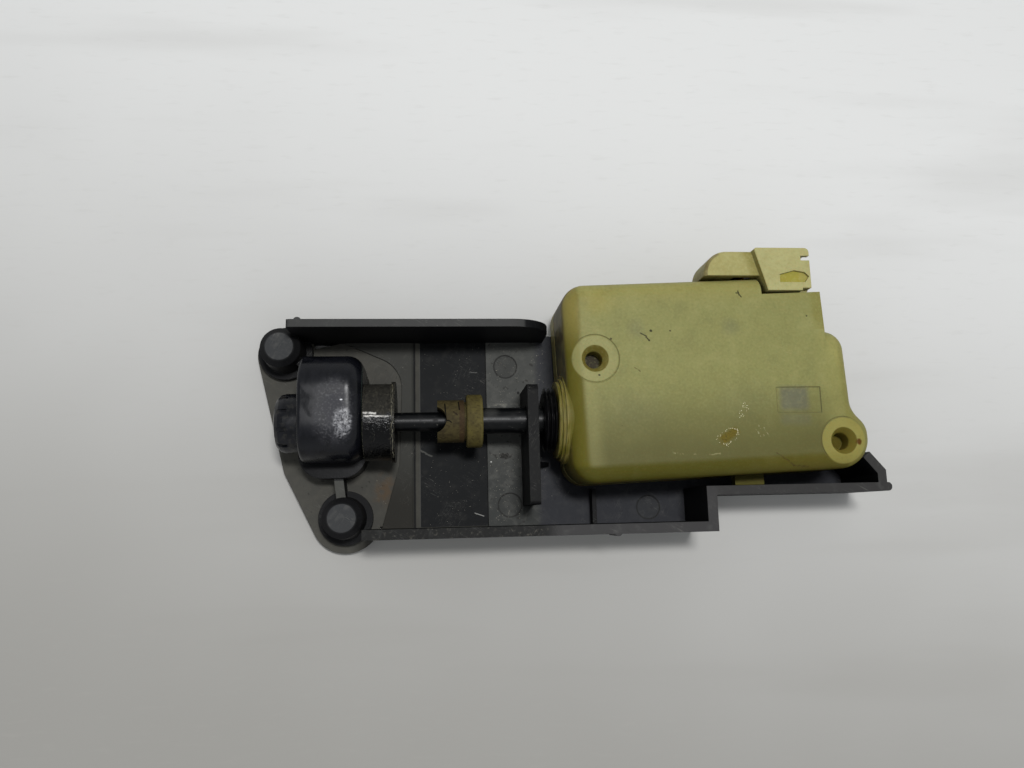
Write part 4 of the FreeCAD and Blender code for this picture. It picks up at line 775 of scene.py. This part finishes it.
def nylon_amber():
    """Cover: greenish where the wall is thin, deep amber at its thick edges, painted light on its far and
    right edges, painted shade on its near half, left and near rims and side walls.
    """
    f = Finish("nylon_amber")
    edge = f.soften_edges(COVER_ROUND)
    along, across = f.turned(HOUSE_PIVOT, HOUSE_TURN)
    left = along - HOUSE_SIDES[0]
    right = HOUSE_SIDES[1] - along
    low = across - HOUSE_SIDES[2]
    high = HOUSE_SIDES[3] - across
    wander = (f.noise(9.0, detail=2.0, shift=1) - 0.5) * 2.0
    # Darker towards the near side: painted shade
    f.base((across + wander * 2.0).ramp(14.0, -10.0), "far half", "near half in painted shade")
    # Painted light on the far and right edges, inside the left rim and on the right lobe
    f.tint((high + wander).ramp(9.0, 2.0) * 0.7, "painted light far strip")
    f.tint((right + wander).ramp(11.0, 5.0) * 0.5, "painted light right strip")
    f.tint(f.spot(*COVER_CORNER, soft=0.9) * 0.6, "corner")
    f.tint((left + wander * 0.3).ramp(9.5, 5.5) * high.ramp(0.0, 6.0) * 0.35, "painted highlight left strip")
    f.tint(f.spot(*COVER_LOBE, soft=0.9) * 0.55, "painted light on lobe")

    # Deep amber of the thick rims, with painted shade on the left and near rims that lightens towards
    # their far and right ends
    left_rim_amber_and_shade = (left + wander * 0.15).ramp(4.9, 3.2)
    f.tint(left_rim_amber_and_shade * 0.95, "left rim amber and shade")
    f.tint(left_rim_amber_and_shade * across.ramp(18.0, 30.0) * 0.8, "left rim amber and shade far")
    near_rim_amber_and_shade = (low + wander * 0.15).ramp(4.9, 3.3)
    f.tint(near_rim_amber_and_shade * 0.95, "near rim amber and shade")
    f.tint(near_rim_amber_and_shade * along.ramp(100.0, 136.0) * 0.5, "near rim amber and shade right")
    below_step = (HOUSE_STEP[1] - across) * 99.0
    to_edge = right.least((HOUSE_STEP[0] - along).most(below_step))
    f.tint((to_edge + wander * 0.1).ramp(3.6, 2.2) * 0.6, "right rim")

    # Side walls: deep amber and painted shade
    wall = f.up.ramp(0.5, 0.05)
    f.tint(wall * 0.85, "wall")
    grime = wall * left.ramp(3.0, 1.0) * (f.y + wander * 2.0).ramp(6.0, 14.0)
    f.tint(grime * 0.75, "wall grime")
    lines = f.noise(0.8, detail=4.0, stretch=(0.5, 6, 6)).ramp(0.4, 0.6)
    f.tint(left.ramp(0.4, -0.4) * lines * 0.5, "collar lines")

    top = f.level(HOUSE_TOP, 0.6)
    cover_window(f, top)
    cover_posts(f, top)
    cover_marks(f)
    aged_nylon(f, 0.15 + 0.85 * (across + wander).ramp(-7.0, 14.0) * (1 - left_rim_amber_and_shade))
    bite = f.noise(1.1, detail=4.0, shift=14).ramp(0.3, 0.42)
    chip = f.stroke(*CHIP_RUN, 1.7, 1.6) * bite * top
    f.tint(chip, "chip")
    f.tint(chip * f.noise(0.5, detail=3.0, shift=2).ramp(0.5, 0.62) * 0.6, "chip grain")
    f.tint(edge * 0.12, "worn edge")
    return f.done(0.5, **NYLON_BODY)


def nylon_pale():
    """Base shell and connector tower: paler, with grime and painted shade on the fairing's slope, painted
    shade on the side walls and by the shroud's step, and a latch recess painted deep yellow as shade with
    light through the nylon.
    """
    f = Finish("nylon_pale")
    edge = f.soften_edges(BASE_ROUND)
    cloud = f.noise(6.0, detail=3.0)
    f.base(cloud.ramp(0.3, 0.75), "pale", "dull")
    slanted = f.x + (f.y - 40.0) * 0.28
    f.tint(slanted.ramp(120.6, 121.2) * 0.85, "shroud")
    # Painted shade in the crease beside the shroud's slanted step
    f.tint(slanted.ramp(117.4, 119.6) * slanted.ramp(121.2, 120.6) * 0.8, "painted shade by shroud step")
    # Grime and painted shade on the fairing's sloped faces
    grime = f.x.ramp(110.6, 109.6) * f.up.ramp(0.99, 0.9)
    f.tint(grime * (0.4 + 0.6 * cloud.ramp(0.3, 0.6)) * 0.8, "grime")
    # Latch recess in deep yellow: painted shade, with light coming through the nylon
    latch = f.patch(LATCH_ZONE, 0.12) * f.z.ramp(27.0, 28.2) * f.z.ramp(29.9, 29.6)
    f.tint(latch * 0.9, "latch")
    f.tint(f.patch(LATCH_END_ZONE, 0.4) * latch * 0.5, "latch end")
    # Painted shade on the side walls
    f.tint(f.up.ramp(0.5, 0.05) * 0.6, "wall")
    f.tint(f.z.ramp(12.0, 8.0) * 0.5, "foot")
    f.tint(f.patch(TAB_ZONE, 0.3) * f.z.ramp(20.0, 17.0) * 0.85, "tab")
    aged_nylon(f)
    f.tint(edge * 0.2, "worn edge")
    return f.done(0.48, **NYLON_BODY)


def rubber_black():
    """Rubber seals. The folds by the housing carry pale flecks and grease."""
    f = Finish("rubber_black")
    f.soften_edges(FINE_ROUND)
    dust = f.noise(1.6, detail=5.0).ramp(0.55, 0.8)
    f.base(dust * 0.5, "clean", "dusty")
    flecks = f.noise(0.6, detail=4.0, stretch=(0.5, 3, 2), shift=5).ramp(0.54, 0.62)
    f.tint(f.y.ramp(4.0, 8.0) * f.up.ramp(0.1, 0.6) * flecks * 0.9, "fleck")
    f.relief(f.noise(0.5, detail=3.0), 0.04)
    return f.done(0.3 + 0.35 * dust, Specular_IOR_Level=0.4)


def scuff_white():
    """Stress-whitened flakes of the cover."""
    f = Finish("scuff_white")
    f.base(f.noise(0.5, detail=3.0).ramp(0.3, 0.7), "light", "dark")
    return f.done(0.7 + 0.1 * f.noise(0.3), Specular_IOR_Level=0.3)


def grit_grey():
    """Loose road grit."""
    f = Finish("grit_grey")
    f.base(f.noise(1.3, detail=2.0).ramp(0.35, 0.65), "dark", "light")
    return f.done(0.8 + 0.1 * f.noise(0.4), Specular_IOR_Level=0.3)


def flash_grey():
    """Thin moulding flash, paler than the plastic it stands on."""
    f = Finish("flash_grey")
    f.base(f.noise(0.9, detail=4.0).ramp(0.35, 0.65), "light", "dark")
    f.relief(f.noise(0.4, detail=3.0), 0.05)
    return f.done(0.35 + 0.2 * f.noise(0.7), Specular_IOR_Level=0.5)


def moulded(name):
    """Plain moulded piece inside the housing."""
    f = Finish(name)
    f.soften_edges(FINE_ROUND)
    cloud = f.noise(4.0, detail=4.0)
    f.base(cloud.ramp(0.3, 0.7), "light", "dark")
    f.relief(f.noise(0.3, detail=2.0), 0.01)
    return f.done(0.38 + 0.12 * cloud)


def metal(name, roughness, stretch):
    """Ground or turned metal piece inside the housing."""
    f = Finish(name)
    f.soften_edges(METAL_ROUND)
    lines = f.noise(0.18, detail=2.0, stretch=stretch)
    cloud = f.noise(3.0, detail=4.0, shift=5)
    f.base(cloud.ramp(0.35, 0.75), "light", "dark")
    f.relief(lines, 0.006)
    return f.done(roughness + 0.18 * cloud, Metallic=1.0)


def dress_nodes():
    """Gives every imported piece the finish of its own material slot. Returns all finishes by name."""
    own = (bracket_black, cap_gloss, bush_grey, pin_black, sleeve_tan, nylon_amber, nylon_pale,
           rubber_black, scuff_white, grit_grey, flash_grey)
    finishes = {make.__name__: make() for make in own}
    for name in PLASTICS:
        finishes[name] = moulded(name)
    for name, (roughness, stretch) in METALS.items():
        finishes[name] = metal(name, roughness, stretch)
    slots = {part["node"]: part["material_slot"] for part in frame["record"]["subparts"]}
    for name, piece in frame["nodes"].items():
        for place in piece.material_slots:
            place.material = finishes[slots[name]]
    return finishes


def floor_finish():
    """Pale cloth-like floor, darkened towards the near left with painted shade."""
    f = Finish("floor_pale")
    cloud = f.noise(90.0, detail=2.0)
    fibre = f.noise(1.6, detail=3.0, stretch=(5, 1, 1))
    # Darker towards the near left: painted shade
    away = f.y * 0.95 + f.x * 0.22 + (cloud - 0.5) * 36.0
    f.base(away.ramp(130.0, -95.0), "far", "near")
    f.tint(f.noise(26.0, detail=3.0, stretch=(7, 1, 1), shift=4).ramp(0.52, 0.72) * 0.16, "streak")
    f.tint(fibre.ramp(0.55, 0.8) * 0.12, "fibre")
    return f.done(0.9, Specular_IOR_Level=0.1)


class Growth:
    """A Geometry Nodes tree under construction, which ends as a plain mesh."""

    def __init__(self, name):
        self.name = name
        self.tree = bpy.data.node_groups.new(name, "GeometryNodeTree")
        self.values = {}
        self.source = self.tree.nodes.new("NodeGroupInput")
        self.geometry = self.given("Base", "NodeSocketGeometry")

    def given(self, label, kind, value=None):
        """A named input of the tree, with its value."""
        entry = self.tree.interface.new_socket(label, in_out="INPUT", socket_type=kind)
        if value is not None:
            self.values[entry.identifier] = value
        return self.source.outputs[label]

    def size(self, label, value):
        return self.given(label, "NodeSocketFloat", value)

    def node(self, kind, settings=None, sockets=None):
        return add_node(self.tree, kind, settings, sockets).outputs

    def make(self, kind, sockets):
        """What a geometry node gives at its first output."""
        return self.node("GeometryNode" + kind, None, sockets)[0]

    def grown(self, base, result, material):
        """Runs the tree on the base mesh and returns a finished piece that rides on the housing's body."""
        real = self.make("RealizeInstances", {0: result})
        dressed = self.make("SetMaterial", {"Geometry": real, "Material": material})
        self.tree.interface.new_socket("Result", in_out="OUTPUT", socket_type="NodeSocketGeometry")
        self.tree.links.new(dressed, self.tree.nodes.new("NodeGroupOutput").inputs[0])
        source = add_object(self.name + "_base", base)
        growth = source.modifiers.new(self.name, "NODES")
        growth.node_group = self.tree
        for identifier, value in self.values.items():
            growth[identifier] = value
        mesh = bpy.data.meshes.new_from_object(source.evaluated_get(bpy.context.evaluated_depsgraph_get()))
        bpy.data.objects.remove(source)
        mesh.name = self.name
        piece = add_object(self.name, mesh)
        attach(piece, "bracket_and_housing")
        return piece


def plates(name, outlines):
    """Flat faces of a base mesh, from outlines of points in millimetres."""
    points = []
    faces = []
    for corners in outlines:
        faces.append(tuple(range(len(points), len(points) + len(corners))))
        points += [Vector(corner) * MM for corner in corners]
    mesh = bpy.data.meshes.new(name)
    mesh.from_pydata(points, [], faces)
    return mesh


def rectangle(x0, x1, y0, y1, z):
    """Corners of a level rectangle."""
    return (x0, y0, z), (x1, y0, z), (x1, y1, z), (x0, y1, z)


def scatter(name, outlines, per_square_mm, smallest, largest, seed, finish, patchy=0.0):
    """Small angular crumbs strewn over flat faces, in drifts where patchy is above nothing."""
    g = Growth(name)
    density = g.size("Crumbs per square metre", per_square_mm / MM ** 2)
    low = g.given("Smallest", "NodeSocketVector", tuple(v * MM for v in smallest))
    high = g.given("Largest", "NodeSocketVector", tuple(v * MM for v in largest))
    drift = g.node("ShaderNodeTexNoise", None, {"Scale": DRIFT_SCALE, "Detail": 2.0})[0]
    kept = g.node("FunctionNodeCompare", {"operation": "GREATER_THAN"}, {0: drift, 1: patchy})[0]
    strewn = g.make("DistributePointsOnFaces", {
        "Mesh": g.geometry, "Density": density, "Seed": seed, "Selection": kept})
    crumb = g.make("MeshIcoSphere", {"Radius": 1.0, "Subdivisions": 1})
    vector = {"data_type": "FLOAT_VECTOR"}
    scale = g.node("FunctionNodeRandomValue", vector, {0: low, 1: high, "Seed": seed})[0]
    turn = g.node("FunctionNodeRandomValue", vector, {
        0: (-CRUMB_TILT, -CRUMB_TILT, 0.0), 1: (CRUMB_TILT, CRUMB_TILT, math.tau), "Seed": seed + 1})[0]
    placed = g.make("InstanceOnPoints", {
        "Points": strewn, "Instance": crumb, "Rotation": turn, "Scale": scale})
    return g.grown(plates(name, outlines), placed, finishes_made[finish])


def make_grit():
    """Road grit on the tray floor, in its band and on the plate beside the lower boss."""
    tray = [
        rectangle(48.4, 57.2, 7.6, 25.8, TRAY_TOP),
        rectangle(48.4, 57.2, -25.6, -5.5, TRAY_TOP),
        rectangle(61.0, 64.8, -12.0, 25.0, TRAY_TOP),
    ]
    scatter("tray_grit", tray, 0.9, (0.05, 0.05, 0.03), (0.17, 0.14, 0.08), 3,
            "grit_grey", 0.47)
    near = [
        rectangle(29.4, 47.4, -25.6, 25.8, TRAY_TOP - BAND_DEPTH),
        rectangle(16.5, 20.5, -20.0, -12.0, PLATE_TOP),
    ]
    scatter("band_grit", near, 0.16, (0.04, 0.04, 0.03), (0.14, 0.1, 0.06), 5,
            "grit_grey")


def make_scuffs():
    """Whitened flakes about the chip and the crackled scuff on the cover."""
    centre = Vector((109.1, -4.3, HOUSE_TOP))
    half_long, half_wide = 2.6, 1.5
    inside, outside = 0.92, 1.22
    steps = 24
    tilt = Matrix.Rotation(math.radians(33), 3, "Z")
    rim = []
    for i in range(steps):
        ends = []
        for angle in (i * math.tau / steps, (i + 1) * math.tau / steps):
            for reach in (inside, outside):
                along = math.cos(angle) * half_long * reach
                aside = math.sin(angle) * half_wide * reach
                ends.append(centre + tilt @ Vector((along, aside, 0)))
        rim.append((ends[0], ends[1], ends[3], ends[2]))
    scatter("chip_rim", rim, 5.0, (0.07, 0.06, 0.02), (0.26, 0.18, 0.06), 11,
            "scuff_white", 0.44)
    crackle = [
        rectangle(112.2, 115.4, -0.8, 2.6, HOUSE_TOP),
        rectangle(113.2, 114.8, 2.6, 4.4, HOUSE_TOP),
        rectangle(105.2, 106.8, -5.4, -4.2, HOUSE_TOP),
        rectangle(107.4, 109.0, -7.3, -6.2, HOUSE_TOP),
    ]
    scatter("crackle", crackle, 6.0, (0.06, 0.05, 0.02), (0.3, 0.14, 0.05), 17,
            "scuff_white", 0.53)


def make_bush_flash():
    """Crumpled thin lip that stands on the bush's right rim."""
    bush = frame["nodes"]["pin_guide_bush"]
    inward = 0.35
    steps = 56
    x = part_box("pin_guide_bush")[1][0] - inward * MM
    low_y, high_y = -7.6, 11.0
    above, lowest = 40.0, 4.0
    points = []
    for i in range(steps):
        y = (high_y + (low_y - high_y) * i / (steps - 1)) * MM
        hit, place, _, _ = bush.ray_cast(Vector((x, y, above * MM)), Vector((0, 0, -1)))
        if hit and place.z > lowest * MM:
            points.append(place)
    base = bpy.data.meshes.new("bush_lip")
    base.from_pydata(points, [(i, i + 1) for i in range(len(points) - 1)], [])
    g = Growth("bush_lip")
    height = g.size("Lip height", 0.34 * MM)
    waver = g.size("Waver", 1.0 * MM)
    path = g.make("MeshToCurve", {"Mesh": g.geometry})
    path = g.make("ResampleCurve", {"Curve": path, "Count": 150})
    wave = g.node("ShaderNodeTexNoise", None, {"Scale": CRUMPLE_SCALE, "Detail": 3.0})[1]
    centred = g.node("ShaderNodeVectorMath", {"operation": "SUBTRACT"}, {0: wave, 1: (0.62, 0.5, 0.5)})[0]
    shift = g.node("ShaderNodeVectorMath", {"operation": "SCALE"}, {0: centred, "Scale": waver})[0]
    path = g.make("SetPosition", {"Geometry": path, "Offset": shift})
    section = g.make("CurvePrimitiveCircle", {"Resolution": 6, "Radius": height})
    section = g.make("Transform", {"Geometry": section, "Scale": LIP_FLATNESS})
    lip = g.make("CurveToMesh", {
        "Curve": path, "Profile Curve": section, "Fill Caps": True})
    g.grown(base, lip, finishes_made["flash_grey"])


def screw_blank():
    """One housing screw without its thread: a lobed recess in a pan head, and a pointed shank."""
    lobes, recess, turns = 6, 1.45, 48
    head_low, head_top, tip = 0.3, 2.2, 20.0
    floor, wave, shank = 1.5, 0.14, 1.45
    # Height, radius and how far the lobes stand in or out, from the recess's floor to the tip
    rings = [
        (floor, 0.02, 0.0),
        (floor, recess, wave),
        (head_low, recess, wave),
        (head_low, 2.9, 0.0),
        (0.7, 3.3, 0.0),
        (1.8, 3.3, 0.0),
        (head_top, 2.9, 0.0),
        (head_top, shank, 0.0),
        (19.0, 1.4, 0.0),
        (tip, 0.4, 0.0),
    ]
    mesh = bmesh.new()
    rows = []
    for z, radius, depth in rings:
        row = []
        for i in range(turns):
            angle = i * math.tau / turns
            reach = radius * (1 + depth * math.cos(lobes * angle))
            row.append(mesh.verts.new(Vector((reach * math.cos(angle), reach * math.sin(angle), z)) * MM))
        rows.append(row)
    for first, second in zip(rows, rows[1:]):
        for i in range(turns):
            j = (i + 1) % turns
            mesh.faces.new((first[i], first[j], second[j], second[i]))
    mesh.faces.new(rows[0])
    mesh.faces.new(rows[-1])
    bmesh.ops.recalc_face_normals(mesh, faces=mesh.faces)
    base = bpy.data.meshes.new("screw_blank")
    mesh.to_mesh(base)
    mesh.free()
    return base


def make_screws():
    """The two housing screws, with a rolled thread along each shank."""
    g = Growth("housing_screws_cut")
    start, end, pitch = 6.0, 18.8, 1.4
    core = g.size("Core radius", 1.42 * MM)
    crest = g.size("Thread size", 0.27 * MM)
    posts = [tuple(Vector((*post, 0.0)) * MM) for post in POSTS]
    spiral = g.make("CurveSpiral", {
        "Resolution": 24, "Rotations": (end - start) / pitch, "Start Radius": core, "End Radius": core,
        "Height": (end - start) * MM})
    section = g.make("CurvePrimitiveCircle", {"Resolution": 3, "Radius": crest})
    thread = g.make("CurveToMesh", {
        "Curve": spiral, "Profile Curve": section, "Fill Caps": True})
    thread = g.make("Transform", {
        "Geometry": thread, "Translation": (0, 0, start * MM)})
    join = g.tree.nodes.new("GeometryNodeJoinGeometry")
    g.tree.links.new(g.geometry, join.inputs[0])
    g.tree.links.new(thread, join.inputs[0])
    seats = g.node("GeometryNodeMeshLine", {"mode": "END_POINTS"}, {
        "Count": 2, "Start Location": posts[0], "Offset": posts[1]})[0]
    pair = g.make("InstanceOnPoints", {"Points": seats, "Instance": join.outputs[0]})
    screws = g.grown(screw_blank(), pair, finishes_made["steel_screw"])
    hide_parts("housing_screws")


def set_stage():
    """Pale floor under the mounting face, the lamp and the sky."""
    half = FLOOR_HALF * MM
    low = -FLOOR_DROP * MM
    corners = [(-half, -half, low), (half, -half, low), (half, half, low), (-half, half, low)]
    mesh = bpy.data.meshes.new("floor")
    mesh.from_pydata(corners, [], [(0, 1, 2, 3)])
    mesh.materials.append(floor_finish())
    add_object("floor", mesh)

    lamp_data = bpy.data.lights.new("key", "AREA")
    lamp_data.shape = "RECTANGLE"
    lamp_data.size = KEY_SIZE[0] * MM
    lamp_data.size_y = KEY_SIZE[1] * MM
    lamp_data.energy = KEY_WATTS
    lamp = add_object("key", lamp_data)
    lamp.location = Vector(KEY_AT) * MM
    lamp.rotation_euler = (Vector(KEY_AIM) - Vector(KEY_AT)).to_track_quat("-Z", "Y").to_euler()

    world = bpy.data.worlds.new("studio")
    bpy.context.scene.world = world
    world.use_nodes = True
    tree = world.node_tree
    coordinates = add_node(tree, "ShaderNodeTexCoord")
    split = add_node(tree, "ShaderNodeSeparateXYZ", None, {0: coordinates.outputs["Generated"]})
    smooth = {"interpolation_type": "SMOOTHSTEP"}
    rise = add_node(tree, "ShaderNodeMapRange", smooth, {"Value": split.outputs["Z"]})
    sky = add_node(tree, "ShaderNodeMix", {"data_type": "RGBA"}, {
        MIX_FACTOR: rise.outputs["Result"],
        MIX_A: (*SKY_LOW, 1.0),
        MIX_B: (*SKY_HIGH, 1.0),
    })
    plug(tree, tree.nodes["Background"].inputs["Color"], sky.outputs[MIX_OUT])


def place_camera():
    """The photograph's viewpoint."""
    data = bpy.data.cameras.new("camera")
    data.lens = LENS
    data.sensor_width = SENSOR
    camera = add_object("camera", data)
    forward = Vector(CAMERA_FORWARD).normalized()
    right = Vector(CAMERA_RIGHT).normalized()
    up = right.cross(forward)
    turn = Matrix((right, up, -forward)).transposed().to_4x4()
    camera.matrix_world = Matrix.Translation(Vector(CAMERA_AT) * MM) @ turn
    bpy.context.scene.camera = camera
    bpy.context.scene.view_settings.view_transform = "Standard"


place_camera()
set_stage()
finishes_made = dress_nodes()
make_screws()
make_bush_flash()
make_grit()
make_scuffs()
